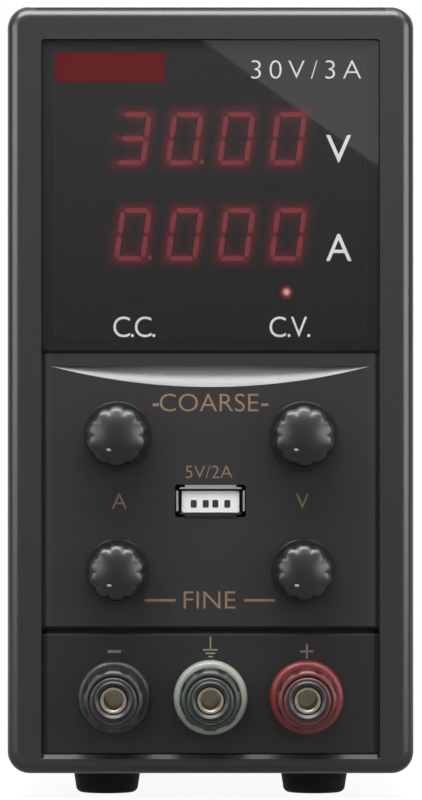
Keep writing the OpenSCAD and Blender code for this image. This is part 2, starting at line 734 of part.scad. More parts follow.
// Four-digit module: a dark block with raised diffusers for the segments and points
module readout(z) {
  front = board_d - seat_gap - display_t;
  half_w = 2 * digit_pitch + 1.4;
  half_h = readout_pitch / 2 - 2;
  box([-half_w, half_w], [front, board_d - seat_gap], [z - half_h, z + half_h]);
  slab(front - 0.4, 0.4) for (i = [-1.5:1.5]) translate([i * digit_pitch, z]) {
    digit(8);
    translate([digit_pitch / 3, -digit_h / 2 + 0.6]) circle(d = 1.2);
  }
}

module voltage_display() color([0.2, 0.03, 0.03]) readout(volts_z);
module current_display() color([0.2, 0.03, 0.03]) readout(amps_z);

// Two round-nosed lamps on the board, one for each mode
module status_leds() color("red") for (x = [-led_x, led_x])
  turned(x, led_z, board_d - seat_gap) difference() {
    union() {
      translate([0, -7.5]) square([1.5, 7.5]);
      translate([0, -7.5]) circle(1.5);
      translate([0, -1]) square([1.9, 1]);
    }
    translate([-3, -12]) square([3, 14]);
  }

// Charging port: stamped shell with flared lips, a moulded insert and four contacts
module usb_shell() color("silver") {
  slab(control_recess - 0.3, board_d - seat_gap - control_recess + 0.3) translate([0, usb_z]) difference() {
    rounded_rect(usb_w, usb_h, 0.5);
    rounded_rect(usb_w - 2 * usb_wall, usb_h - 2 * usb_wall, 0.2);
  }
  slab(control_recess - 0.3, 0.5) translate([0, usb_z]) {
    for (s = [-1, 1]) translate([s * (usb_w / 2 + 0.25), 0]) square([0.7, usb_h - 1.4], center = true);
    for (s = [-1, 1]) translate([0, s * (usb_h / 2 + 0.1)]) square([usb_w - 2.4, 0.7], center = true);
  }
}

usb_tongue_z = usb_z - 0.75;
usb_contact_x = [-3.5, -1, 1, 3.5];
module usb_insert() color("white") difference() {
  union() {
    slab(control_recess + 7.5, board_d - seat_gap - 0.1 - control_recess - 7.5) translate([0, usb_z])
      rounded_rect(usb_w - 2 * usb_wall - 0.1, usb_h - 2 * usb_wall - 0.1, 0.2);
    slab(control_recess + 0.5, 8) translate([0, usb_tongue_z - 0.3]) rounded_rect(11.6, 2.7, 0.3);
  }
  for (x = usb_contact_x) slab(control_recess, 6.5)
    translate([x, usb_tongue_z + 0.55]) square([1.2, 1.1], center = true);
}

module usb_contacts() color("gold") for (x = usb_contact_x)
  slab(control_recess + 1.2, 5) translate([x, usb_tongue_z + 0.2]) square([1, 0.36], center = true);

// Square fan frame with a round duct, corner holes and a motor seat on four arms
fan_front = rear_in - fan_d;
module fan_frame() color([0.09, 0.09, 0.09]) translate([0, 0, fan_z]) difference() {
  union() {
    slab(fan_front - seat_gap, fan_d) difference() {
      rounded_rect(fan_w, fan_w, 3);
      circle(d = fan_w - 3.4);
    }
    slab(rear_in - seat_gap - 2.5, 2.5) intersection() {
      circle(d = fan_w - 2);
      union() {
        circle(d = 26);
        for (a = [0, 90]) rotate(a + 20) square([fan_w, 3.4], center = true);
      }
    }
  }
  // waist between the two flanges
  slab(fan_front + 3, fan_d - 6) for (a = [0:90:270])
    rotate(a) translate([fan_w / 2, 0]) square([2, fan_w - 16], center = true);
  for (sx = [-1, 1], sz = [-1, 1])
    translate([sx * fan_hole_pitch / 2, at(fan_front - over), sz * fan_hole_pitch / 2])
      rotate([-90, 0, 0]) cylinder(h = fan_d + 2 * over, d = 4.3);
  translate([0, at(rear_in - 4), 0]) rotate([-90, 0, 0]) cylinder(h = 3.6, d = 3.1);
}

// Hub with slanted blades on a short axle
module fan_rotor() color([0.12, 0.12, 0.12]) translate([0, 0, fan_z]) {
  hub_len = fan_d - 4.5;
  tip_r = fan_w / 2 - 2.4;
  slab(fan_front + 0.6, hub_len) circle(d = 25);
  translate([0, at(rear_in - 4.2), 0]) rotate([-90, 0, 0]) cylinder(h = 3.6, d = 3);
  intersection() {
    slab(fan_front + 1, hub_len - 1) difference() {
      circle(tip_r);
      circle(r = 12);
    }
    union() for (i = [0:fan_blades - 1]) rotate([0, i * 360 / fan_blades, 0])
      translate([tip_r / 2, at(fan_front + 1 + hub_len / 2), 0]) rotate([38, 0, 0])
        cube([tip_r + 4, 24, 1.3], center = true);
  }
}

module fan_screws() color("darkgray") for (sx = [-1, 1], sz = [-1, 1])
  translate([sx * fan_hole_pitch / 2, at(case_d + seat_gap), fan_z + sz * fan_hole_pitch / 2])
    rotate([90, 0, 0]) rotate_extrude() screw_profile(3.4, 1.9, 2, 10);

// Mains inlet: flange, body, plug cavity with two cut corners, and the fuse drawer's slot below it
cavity_depth = 15;
cavity_z = inlet_z + 5.5;
drawer_z = inlet_z - 10;
drawer_w = 21;
drawer_h = 7.6;
drawer_len = 18;
module cavity_outline(margin) polygon([
  [-12 + margin, -8 + margin], [12 - margin, -8 + margin], [12 - margin, 4.5 - margin],
  [8.5 - margin, 8 - margin], [-8.5 + margin, 8 - margin], [-12 + margin, 4.5 - margin]
]);

module inlet_housing() color([0.1, 0.1, 0.1]) difference() {
  union() {
    slab(case_d + seat_gap, 3) translate([0, inlet_z]) rounded_rect(inlet_w + 4.6, inlet_flange_h, 3);
    slab(case_d - inlet_back, inlet_back + seat_gap + 0.1) translate([0, inlet_z])
      rounded_rect(inlet_w, inlet_h, 0.8);
  }
  slab(case_d + 3.2 - cavity_depth, cavity_depth + over) translate([0, cavity_z]) cavity_outline(0);
  slab(case_d + 3.2 - drawer_len, drawer_len + over) translate([0, drawer_z])
    square([drawer_w + 4 * run_gap, drawer_h + 4 * run_gap], center = true);
}

// Three flat blades, the earth one in the middle, with solder tails behind
module inlet_pins() color("silver") {
  for (p = [[-7, -2], [7, -2], [0, 2]])
    slab(case_d + 3.2 - cavity_depth + 0.05, cavity_depth - 5) translate([p[0], cavity_z + p[1]])
      square([2, 4], center = true);
  for (p = [[-7, -2], [7, -2], [0, 2]])
    slab(case_d - tail_back, tail_back - inlet_back - 0.05) translate([p[0], cavity_z + p[1]])
      square([6.3, 0.8], center = true);
}

// Fuse drawer that pulls straight out, hollow from above for its fuse
module fuse_drawer() color([0.13, 0.13, 0.13]) {
  back = case_d + 3.1 - drawer_len + 0.2;
  difference() {
    slab(back, drawer_len - 0.2) translate([0, drawer_z]) square([drawer_w, drawer_h], center = true);
    box([-8, 8], [back + 5, back + 11.4], [drawer_z - 2.9, drawer_z + drawer_h]);
    box([-11, 11], [back + 5.8, back + 10.6], [drawer_z - 2.9, drawer_z + drawer_h]);
  }
  difference() {
    slab(case_d + 3.1, rear_reach - 3.1) translate([0, drawer_z])
      rounded_rect(drawer_w + 1.5, drawer_h + 1, 0.8);
    slab(case_d + 3.6, 2) translate([0, drawer_z - 3]) square([8, 1.4], center = true);
  }
}

// Glass fuse with two end caps, lying across the drawer
module glass_fuse() color("gainsboro") {
  mid = case_d + 3.1 - drawer_len + 0.2 + 8.2;
  translate([-7.9, at(mid), drawer_z - 0.35]) rotate([0, 90, 0]) {
    cylinder(h = 15.8, d = 4.6);
  }
}

// Rocker switch: bezel, body and a rocker that tilts between two stops
rocker_tilt = 9;
rocker_x = -12;
rocker_axis_d = case_d + 0.6;
module switch_housing() color([0.1, 0.1, 0.1]) difference() {
  union() {
    slab(case_d + seat_gap, 2) translate([rocker_x, switch_z]) rounded_rect(21, switch_flange_h, 1);
    slab(case_d - 13, 13 + seat_gap + 0.1) translate([rocker_x, switch_z]) rounded_rect(19, 13, 0.5);
  }
  slab(case_d - 6, 9) translate([rocker_x, switch_z]) square([15.4, 9.8], center = true);
  translate([rocker_x, at(rocker_axis_d), switch_z - 6.1]) cylinder(h = 12.2, d = 2.4 + 2 * run_gap);
}

// Rocker with a dished face on two pins, drawn level and tilted to its closed position
module switch_rocker() color([0.13, 0.13, 0.13]) translate([rocker_x, at(rocker_axis_d), switch_z])
  rotate([0, 0, rocker_tilt]) {
    difference() {
      translate([-7, -2.4, -4.6]) cube([14, 5, 9.2]);
      translate([0, 2.6 + 21.2, -5]) cylinder(h = 10, r = 22, $fn = 96);
    }
    translate([0, 0, -5.9]) cylinder(h = 11.8, d = 2.4);
  }

// Mains voltage selector: recessed body and a slider
selector_x = 14;
selector_travel = 4;
module selector_housing() color([0.12, 0.12, 0.12]) difference() {
  union() {
    slab(case_d + seat_gap, 1.2) translate([selector_x, switch_z]) rounded_rect(20.4, 11.4, 0.8);
    slab(case_d - 8, 8 + seat_gap + 0.1) translate([selector_x, switch_z]) rounded_rect(18, 9, 0.5);
  }
  slab(case_d - 2.6, 6) translate([selector_x, switch_z]) square([12.6, 6.1], center = true);
}

module selector_slider() color("firebrick") difference() {
  slab(case_d - 2.5, 2.7) translate([selector_x - selector_travel / 2, switch_z])
    square([8.2, 5.9], center = true);
  for (i = [-2:2]) slab(case_d - 0.2, 1)
    translate([selector_x - selector_travel / 2 + i * 1.4, switch_z]) square([0.5, 7], center = true);
}

// Main board on four pillars
function standoff_places() = [for (sx = [-1, 1], sy = [0, 1])
  [sx * (board_w / 2 - 4), floor_board_y0 + 5 + sy * (board_len - 10)]];

module main_board() color("darkgreen") difference() {
  box([-board_w / 2, board_w / 2], [floor_board_y0, board_end], [floor_board_z, floor_board_top]);
  for (p = standoff_places())
    translate([p[0], at(p[1]), floor_board_z - over]) cylinder(h = 2 * over + board_t, d = 2.6 + seat_gap);
}

module board_standoffs() color("gold") for (p = standoff_places()) translate([p[0], at(p[1]), 0]) {
  translate([0, 0, tray_floor]) cylinder(h = standoff_h, r = 2.6 / cos(30), $fn = 6);
  translate([0, 0, floor_board_top + 0.05]) cylinder(h = 1.8, d = 5.4);
  translate([0, 0, floor_board_z - 0.01]) cylinder(h = board_t + 0.1, d = 2.6);
}

// Ferrite core of two E halves round a taped winding
transformer_d = floor_board_y0 + board_len * 0.47;
core_w = board_w * 0.58;
core_t = core_w * 0.48;
limb = core_w * 0.12;
coil_w = core_w * 0.74;
coil_t = core_w * 0.76;
module transformer() color("khaki") translate([0, at(transformer_d), floor_board_top + seat_gap]) {
  window_w = (core_w - 4 * limb) / 2;
  difference() {
    translate([-core_w / 2, -core_t / 2, limb]) cube([core_w, core_t, core_w]);
    for (m = [0, 1]) mirror([m, 0, 0])
      translate([limb, -core_t / 2 - over, 2 * limb]) cube([window_w, core_t + 2 * over, core_w - 2 * limb]);
  }
  difference() {
    translate([-coil_w / 2, -coil_t / 2, 2 * limb + 0.4]) cube([coil_w, coil_t, core_w - 2 * limb - 0.8]);
    translate([-limb - seat_gap, -core_t / 2 - seat_gap, limb])
      cube([2 * limb + 2 * seat_gap, core_t + 2 * seat_gap, core_w]);
  }
  for (i = [-3:3], s = [-1, 1]) translate([i * coil_w * 0.16, s * (coil_t / 2 - 2), 0])
    cylinder(h = 2 * limb + 0.8, d = 1);
}

// Finned heatsinks, drawn as one extruded section for each side of the board
heatsink_x = board_w / 2 - 6;
heatsink_len = board_len * 0.424;
heatsink_d = transformer_d + 4;
fin_pitch = heatsink_len / 11.2;
module heatsink_section() {
  square([2.6, heatsink_len], center = true);
  for (i = [-5:5]) translate([2.6, i * fin_pitch]) square([4, 1.3], center = true);
}

module heatsinks() color("silver") for (m = [0, 1]) mirror([m, 0, 0])
  translate([heatsink_x - 1.5, at(heatsink_d), floor_board_top + seat_gap])
    linear_extrude(heatsink_h) heatsink_section();

// Flat power packages screwed to the heatsinks, legs down into the board
package_w = 10;
package_h = 16;
package_t = 4.6;
module power_transistors() color([0.1, 0.1, 0.1])
  for (m = [0, 1], y = heatsink_len * [-0.32, 0.32]) mirror([m, 0, 0])
    translate([heatsink_x - 2.8 - seat_gap, at(heatsink_d) + y, floor_board_top + 14]) {
      translate([-package_t, -package_w / 2, 0]) cube([package_t, package_w, package_h]);
      for (i = [-1:1]) translate([-2.6, i * 2.54 - 0.4, -13.9]) cube([0.6, 0.8, 14]);
    }

// Mains and output capacitors, standing on the board
output_cap_r = board_len / 22;
output_cap_d = floor_board_y0 + 4 + output_cap_r;
cap_places = [
  for (s = [-1, 1]) [s * (mains_cap_d / 2 + 2), board_end - 24, mains_cap_d, mains_cap_h],
  for (f = [-0.305, -0.083, 0.139]) [f * board_w, output_cap_d, 2 * output_cap_r, 24]
];
module capacitors() color("navy") for (c = cap_places) translate([c[0], at(c[1]), floor_board_top + seat_gap])
  rotate_extrude() difference() {
    square([c[2] / 2, c[3]]);
    translate([c[2] / 2, 3]) circle(0.6);
    translate([0, c[3] - 0.5]) square([c[2] / 2 - 1.2, 1]);
  }

// Two wound rings lying flat, in the room between the output capacitors and the heatsinks
choke_room = [output_cap_d + output_cap_r, heatsink_d - heatsink_len / 2];
choke_r = (choke_room[1] - choke_room[0]) / 2 - 0.6;
module chokes() color("peru") for (s = [-1, 1])
  translate([s * board_w * 0.29, at((choke_room[0] + choke_room[1]) / 2),
    floor_board_top + seat_gap + choke_r * 0.38])
    rotate_extrude() translate([choke_r * 0.62, 0]) circle(choke_r * 0.38);

// A tube swept along a smooth line through hand-chosen points
function smooth(p, n) = [
  for (i = [0:len(p) - 2], k = [0:n - 1])
    let (a = p[max(i - 1, 0)], b = p[i], c = p[i + 1], d = p[min(i + 2, len(p) - 1)], t = k / n)
    ((2 * b) + (c - a) * t + (2 * a - 5 * b + 4 * c - d) * t * t + (3 * b - a - 3 * c + d) * t * t * t) / 2,
  p[len(p) - 1]
];
function unit(v) = v / norm(v);
module tube(points, d, steps = 4, sides = 8) {
  line = smooth(points, steps);
  count = len(line);
  rings = [for (i = [0:count - 1])
    let (
      along = i == 0 || i == 1 ? unit(line[1] - line[0])
        : i >= count - 2 ? unit(line[count - 1] - line[count - 2]) : unit(line[i + 1] - line[i - 1]),
      side = unit(cross(along, [0.31, 0.17, 0.94])),
      up = cross(side, along)
    )
    [for (k = [0:sides - 1]) line[i] + d / 2 * (side * cos(k * 360 / sides) + up * sin(k * 360 / sides))]];
  polyhedron(
    [for (ring = rings) each ring],
    concat(
      [[for (k = [0:sides - 1]) k]],
      [for (i = [0:count - 2], k = [0:sides - 1], half = [0, 1])
        let (n = (k + 1) % sides, a = i * sides, b = (i + 1) * sides)
        half == 0 ? [a + k, b + k, b + n] : [a + k, b + n, a + n]],
      [[for (k = [sides - 1:-1:0]) (count - 1) * sides + k]]
    ));
}

// Leads from the solder tags, under the front board, back and down to the main board's front edge
lead_d = 2.4;
module output_leads() color("crimson") for (i = [0:2]) {
  x = post_x[i];
  x_land = (i - 1) * board_w * 0.208;
  z = post_z + 7.4;
  d = floor_board_y0 + 2;
  tube([
    [x, at(tag_d0 + 0.85), z], [x, at(tag_d0 + 3), z], [x * 0.95, at(tag_d0 + 8), z - 0.6],
    [x_land, at(d - 2), floor_board_top + 9], [x_land, at(d), floor_board_top + 5],
    [x_land, at(d), floor_board_top + 2.5], [x_land, at(d), floor_board_top + 0.1]
  ], lead_d);
}

// Leads from the inlet and the switch to the board's rear edge
module mains_leads() color("saddlebrown") for (i = [-1, 0, 1]) {
  z = cavity_z + (i == 0 ? 2 : -2);
  tube([
    [i * 7, at(case_d - tail_back - seat_gap), z], [i * 7, at(case_d - tail_back - 4), z],
    [i * 8, at(case_d - tail_back - 9), z - 10],
    [i * 9, at(board_end - 4), floor_board_top + 8], [i * 9, at(board_end - 4), floor_board_top + 4],
    [i * 9, at(board_end - 4), floor_board_top + 0.1]
  ], lead_d);
}

// Flat ribbon between two plugs: back from the front board, over a bend, and down to the main board
module display_ribbon() color("gray") translate([board_w * 0.243, 0, 0]) rotate([90, 0, 90]) {
  d0 = board_d + board_t + seat_gap;
  d1 = 28;
  bend = 8;
  z0 = floor_board_top + seat_gap;
  z1 = fine_z - 6;
  width = board_w * 0.15;
  linear_extrude(width) {
    translate([at(d0), z1 - 2.5]) square([8, 5]);
    translate([at(d1) - 2.5, z0]) square([5, 8]);
  }
  translate([0, 0, 1]) linear_extrude(width - 2) {
    translate([at(d0), z1 - 0.4]) square([d1 + 0.4 - bend - d0, 0.8]);
    translate([at(d1) - 0.4, z0]) square([0.8, z1 + 0.4 - bend - z0]);
    intersection() {
      translate([at(d1) + 0.4 - bend, z1 + 0.4 - bend]) difference() {
        circle(bend);
        circle(bend - 0.8);
      }
      translate([at(d1) + 0.4 - bend, z1 + 0.4 - bend]) square(bend + 1);
    }
  }
}

front_bezel();
display_window();
control_panel();
terminal_panel();
top_cover();
chassis_tray();
rear_panel();
case_screws();
rubber_feet();
foot_screws();
coarse_current_knob();
coarse_voltage_knob();
fine_current_knob();
fine_voltage_knob();
coarse_current_shaft();
coarse_voltage_shaft();
fine_current_shaft();
fine_voltage_shaft();
potentiometers();
negative_collar();
ground_collar();
positive_collar();
negative_cap();
ground_cap();
positive_cap();
negative_washer();
ground_washer();
positive_washer();
negative_socket();
ground_socket();
positive_socket();
post_nuts();
front_board();
voltage_display();
current_display();
status_leds();
usb_shell();
usb_insert();
usb_contacts();
fan_frame();
fan_rotor();
fan_screws();
inlet_housing();
inlet_pins();
fuse_drawer();
glass_fuse();
switch_housing();
switch_rocker();
selector_housing();
selector_slider();
main_board();
board_standoffs();
transformer();
heatsinks();
power_transistors();
capacitors();
chokes();
output_leads();
mains_leads();
display_ribbon();
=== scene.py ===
import math

import bpy
import numpy as np
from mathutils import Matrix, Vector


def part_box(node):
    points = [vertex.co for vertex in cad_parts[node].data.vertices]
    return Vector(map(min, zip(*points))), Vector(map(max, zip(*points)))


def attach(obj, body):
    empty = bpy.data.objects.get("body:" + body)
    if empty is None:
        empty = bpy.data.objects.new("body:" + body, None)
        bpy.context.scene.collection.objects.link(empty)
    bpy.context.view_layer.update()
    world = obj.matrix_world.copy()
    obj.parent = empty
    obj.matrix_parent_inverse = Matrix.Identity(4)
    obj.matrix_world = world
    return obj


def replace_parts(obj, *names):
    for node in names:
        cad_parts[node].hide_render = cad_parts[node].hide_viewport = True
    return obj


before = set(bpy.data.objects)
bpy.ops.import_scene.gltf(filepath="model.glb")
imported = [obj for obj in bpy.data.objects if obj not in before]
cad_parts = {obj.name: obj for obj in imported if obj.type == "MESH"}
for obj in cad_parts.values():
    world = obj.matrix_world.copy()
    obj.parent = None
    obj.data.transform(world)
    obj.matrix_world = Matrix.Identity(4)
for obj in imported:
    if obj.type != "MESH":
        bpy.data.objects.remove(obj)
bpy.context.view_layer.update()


# Front bezel: one injection-moulded frame of dark grey ABS with a fine spark-eroded grain, a rounded outside
# edge and stepped pockets. It is screwed to the tray from behind, and everything on the front sits in it.
MM = 0.001
WELD_GAP = 0.002 * MM
SHARP_ANGLE = math.radians(35)


def span(node):
    """Lowest and highest corner of a CAD node, in millimetres."""
    low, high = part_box(node)
    return np.array(low) / MM, np.array(high) / MM


bezel_face = span("front_bezel")[0][1]


def tone(red, green, blue):
    """A colour written 0 to 255 as it looks, as the linear colour that a shader takes."""
    c = np.array([red, green, blue], float) / 255
    return (*np.where(c <= 0.04045, c / 12.92, ((c + 0.055) / 1.055) ** 2.4), 1.0)


def put(tree, kind, inputs=None, **settings):
    """Adds a node, sets its properties, and gives its inputs numbers or links by socket name or index."""
    made = tree.nodes.new(kind)
    for key, value in settings.items():
        setattr(made, key, value)
    for key, value in (inputs or {}).items():
        if isinstance(value, bpy.types.NodeSocket):
            tree.links.new(value, made.inputs[key])
        else:
            made.inputs[key].default_value = value
    return made


def sums(tree, operation, a, b=0.0, c=0.0):
    """One Math node and its result."""
    return put(tree, "ShaderNodeMath", {0: a, 1: b, 2: c}, operation=operation).outputs[0]


def build_surface_grain():
    """Colour, roughness and height that wander over a surface: a broad mottle and a fine grain, each a noise
    of the object's own coordinates, the fine one stretched along one axis where the finish is brushed."""
    mottle_scale, fine_share = 42.0, 0.6
    tree = bpy.data.node_groups.new("surface_grain", "ShaderNodeTree")
    for side, name, kind in (("INPUT", "Colour", "Color"), ("INPUT", "Mottle", "Float"),
                             ("INPUT", "Roughness", "Float"), ("INPUT", "Spread", "Float"),
                             ("INPUT", "Grain Scale", "Float"), ("INPUT", "Stretch", "Vector"),
                             ("OUTPUT", "Colour", "Color"), ("OUTPUT", "Roughness", "Float"),
                             ("OUTPUT", "Height", "Float")):
        tree.interface.new_socket(name, in_out=side, socket_type="NodeSocket" + kind)
    given = tree.nodes.new("NodeGroupInput")
    place = put(tree, "ShaderNodeTexCoord").outputs["Object"]
    broad = put(tree, "ShaderNodeTexNoise", {"Vector": place, "Scale": mottle_scale, "Detail": 3.0})
    drawn = put(tree, "ShaderNodeVectorMath", {0: place, 1: given.outputs["Stretch"]}, operation="MULTIPLY")
    fine = put(tree, "ShaderNodeTexNoise",
               {"Vector": drawn.outputs[0], "Scale": given.outputs["Grain Scale"], "Detail": 2.0,
                "Roughness": 0.6}).outputs["Fac"]
    swing = sums(tree, "ADD", sums(tree, "SUBTRACT", broad.outputs["Fac"], 0.5),
                 sums(tree, "MULTIPLY", sums(tree, "SUBTRACT", fine, 0.5), fine_share))
    shade = sums(tree, "ADD", sums(tree, "MULTIPLY", swing, given.outputs["Mottle"]), 1.0)
    colour = put(tree, "ShaderNodeVectorMath", {0: given.outputs["Colour"], 1: shade}, operation="MULTIPLY")
    rough = sums(tree, "ADD", sums(tree, "MULTIPLY", swing, given.outputs["Spread"]),
                 given.outputs["Roughness"])
    put(tree, "NodeGroupOutput", {"Colour": colour.outputs[0], "Roughness": rough, "Height": fine})
    return tree


surface_grain = build_surface_grain()


def plain_material(name, **sockets):
    """A material with one Principled shader, and its constants set on the shader's own sockets."""
    material = bpy.data.materials.new(name)
    material.use_nodes = True
    shader = material.node_tree.nodes["Principled BSDF"]
    for key, value in sockets.items():
        shader.inputs[key.replace("_", " ")].default_value = value
    return material, material.node_tree, shader


def lay_grain(tree, shader, colour, roughness, grain, mottle, spread, stretch=(1.0, 1.0, 1.0)):
    """Places surface_grain, links its colour and roughness to the shader, and gives its height."""
    group = put(tree, "ShaderNodeGroup", {"Colour": colour, "Mottle": mottle, "Roughness": roughness,
                                          "Spread": spread, "Grain Scale": grain, "Stretch": stretch},
                node_tree=surface_grain)
    tree.links.new(group.outputs["Colour"], shader.inputs["Base Color"])
    tree.links.new(group.outputs["Roughness"], shader.inputs["Roughness"])
    return group.outputs["Height"]


def grained(name, colour, roughness, grain=5000.0, height=0.006, mottle=0.12, spread=0.12,
            stretch=(1.0, 1.0, 1.0), extra_height=None, **sockets):
    """A material whose colour, roughness and bump come from surface_grain. The colour is three tones, or a
    function of the node tree where it varies. The heights are in millimetres: the grain's own, and a second
    one from extra_height(tree)."""
    material, tree, shader = plain_material(name, **sockets)
    given = colour(tree) if callable(colour) else tone(*colour)
    fine = lay_grain(tree, shader, given, roughness, grain, mottle, spread, stretch)
    tall = sums(tree, "MULTIPLY", fine, height * MM)
    if extra_height:
        tall = sums(tree, "MULTIPLY_ADD", extra_height(tree), MM, tall)
    bump = put(tree, "ShaderNodeBump", {"Height": tall, "Distance": 1.0, "Strength": 1.0})
    tree.links.new(bump.outputs["Normal"], shader.inputs["Normal"])
    return material


def axis_of(tree, axis):
    """One of the object's own coordinates, in millimetres."""
    place = put(tree, "ShaderNodeTexCoord").outputs["Object"]
    return sums(tree, "MULTIPLY", put(tree, "ShaderNodeSeparateXYZ", {0: place}).outputs[axis], 1000.0)


def blend_colours(tree, mask, first, second):
    """The first colour where the mask is 0 and the second where it is 1."""
    return put(tree, "ShaderNodeMix", {0: mask, 6: first, 7: second}, data_type="RGBA").outputs[2]


def dress(material, *names):
    """Gives CAD nodes their material, and shades their welded faces smooth up to an angle."""
    for name in names:
        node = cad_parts[name]
        mesh = node.data
        mesh.materials.clear()
        mesh.materials.append(material)
        mesh.polygons.foreach_set("material_index", np.zeros(len(mesh.polygons), int))
        if not mesh.has_custom_normals:
            mesh.polygons.foreach_set("use_smooth", np.ones(len(mesh.polygons), bool))
            node.modifiers.new("weld", "WELD").merge_threshold = WELD_GAP
            node.modifiers.new("edges", "EDGE_SPLIT").split_angle = SHARP_ANGLE


def bezel_colour_painted_wall_shade(tree):
    """Dark grey, with painted shade, nearly black, on the walls of the pockets, which lie within the panels'
    width and a margin, deeper than the bezel's face, and above the ledge under the terminal panel."""
    margin, wall_depth, ledge = 1.2, 0.4, 1.0
    pocket_wide = span("control_panel")[1][0] + margin
    inside = sums(tree, "LESS_THAN", sums(tree, "ABSOLUTE", axis_of(tree, "X")), pocket_wide)
    deep = sums(tree, "GREATER_THAN", axis_of(tree, "Y"), bezel_face + wall_depth)
    above = sums(tree, "GREATER_THAN", axis_of(tree, "Z"), span("terminal_panel")[0][2] + ledge)
    walls = sums(tree, "MULTIPLY", sums(tree, "MULTIPLY", inside, deep), above)
    # The near-black on the pockets' walls is painted shade.
    return blend_colours(tree, walls, tone(51, 51, 52), tone(12, 12, 12))


bezel_plastic = grained("bezel_plastic", bezel_colour_painted_wall_shade, 0.22, grain=6000.0, height=0.003, mottle=0.05,
                        spread=0.06)
dress(bezel_plastic, "front_bezel")


# Tray, cover and rear panel: 1 mm sheet steel. The tray is plain zinc-plated steel, and the folded cover and
# the rear panel are powder coated dark grey, which leaves a slight orange peel. Small machine screws hold
# them.
painted_steel = grained("painted_steel", (52, 53, 55), 0.46, grain=1100.0, height=0.02, mottle=0.07,
                        spread=0.1)
zinc_steel = grained("zinc_steel", (176, 180, 184), 0.38, grain=900.0, height=0.002, mottle=0.2, spread=0.25,
                     stretch=(1.0, 0.08, 1.0), Metallic=1.0)
screw_steel = grained("screw_steel", (168, 170, 174), 0.3, grain=4000.0, height=0.002, mottle=0.15,
                      spread=0.2, Metallic=1.0)
dress(painted_steel, "top_cover", "rear_panel")
dress(zinc_steel, "chassis_tray")
dress(screw_steel, "case_screws", "foot_screws", "fan_screws")


# Feet: four round mouldings of black rubber, narrower at the floor. Each is held to the tray by a screw
# through its hollow middle.
foot_rubber = grained("foot_rubber", (15, 15, 16), 0.62, grain=2600.0, height=0.02, mottle=0.3, spread=0.2,
                      Specular_IOR_Level=0.2)
dress(foot_rubber, "rubber_feet")


# Front board and the parts inside: a green board with read-outs, controls and the charging port, and a main
# board with its transformer, heatsinks, capacitors, ring chokes and leads, as the vents and the fan show
# them.
LEAD_SPLIT = 4.5
WIRE_TURNS = 44
WIRE_PITCH = 1.27
CORE_SHARE = 0.64


def middle(node):
    """Middle of a CAD node's box, in millimetres."""
    return sum(span(node)) / 2


def board_traces(tree):
    """A mask of copper tracks: straight cells of a brick pattern with thin mortar."""
    place = put(tree, "ShaderNodeTexCoord").outputs["Object"]
    brick = put(tree, "ShaderNodeTexBrick", {"Vector": place, "Scale": 260.0, "Mortar Size": 0.12,
                                             "Brick Width": 1.6, "Row Height": 0.5})
    return brick.outputs["Fac"]


def board_colour(tree):
    """Solder mask, lighter over the copper."""
    return blend_colours(tree, board_traces(tree), tone(22, 84, 50), tone(40, 118, 70))


def lead_colours(first, second, third):
    """Three sleeve colours from left to right, told apart by where each lead lies."""
    def colour(tree):
        x = axis_of(tree, "X")
        left = blend_colours(tree, sums(tree, "GREATER_THAN", x, -LEAD_SPLIT), tone(*first), tone(*second))
        return blend_colours(tree, sums(tree, "GREATER_THAN", x, LEAD_SPLIT), left, tone(*third))
    return colour


transformer_y = middle("transformer")[1]
half_core = CORE_SHARE * (span("transformer")[1][1] - transformer_y)


def transformer_colour(tree):
    """Yellow tape where the winding stands proud of the core, and dark ferrite elsewhere."""
    offset = sums(tree, "SUBTRACT", axis_of(tree, "Y"), transformer_y)
    proud = sums(tree, "GREATER_THAN", sums(tree, "ABSOLUTE", offset), half_core)
    return blend_colours(tree, proud, tone(48, 46, 47), tone(196, 164, 60))


choke_low, choke_high = span("chokes")
choke_y = (choke_low[1] + choke_high[1]) / 2
choke_x = choke_high[0] - (choke_high[1] - choke_low[1]) / 2


def choke_turns(tree):
    """A saw of ridges round each ring, one for each turn of wire: the size of the sine of half the turns
    times the angle about the ring's middle."""
    x = sums(tree, "SUBTRACT", sums(tree, "ABSOLUTE", axis_of(tree, "X")), choke_x)
    y = sums(tree, "SUBTRACT", axis_of(tree, "Y"), choke_y)
    turned = sums(tree, "MULTIPLY", sums(tree, "ARCTAN2", y, x), WIRE_TURNS / 2)
    return sums(tree, "ABSOLUTE", sums(tree, "SINE", turned))


def choke_colour_painted_turn_shade(tree):
    """Enamelled copper, with painted shade between its turns."""
    return blend_colours(tree, choke_turns(tree), tone(92, 40, 20), tone(196, 104, 56))


def can_colour(tree):
    """A dark printed sleeve, and the bare can on top, where the face looks nearly straight up."""
    normal = put(tree, "ShaderNodeNewGeometry").outputs["Normal"]
    up = put(tree, "ShaderNodeSeparateXYZ", {0: normal}).outputs["Z"]
    return blend_colours(tree, sums(tree, "GREATER_THAN", up, 0.9), tone(28, 34, 62), tone(178, 180, 184))


def ribbon_ridges(tree):
    """Round conductors side by side, 1.27 mm apart."""
    along = sums(tree, "MULTIPLY", axis_of(tree, "X"), math.pi / WIRE_PITCH)
    return sums(tree, "ABSOLUTE", sums(tree, "SINE", along))


def ribbon_colour_painted_groove_shade(tree):
    """Grey sleeve, with painted shade darkening its grooves."""
    return blend_colours(tree, ribbon_ridges(tree), tone(96, 97, 100), tone(150, 151, 155))


def raised(pattern, height):
    """A height in millimetres where a pattern is 1."""
    return lambda tree: sums(tree, "MULTIPLY", pattern(tree), height)


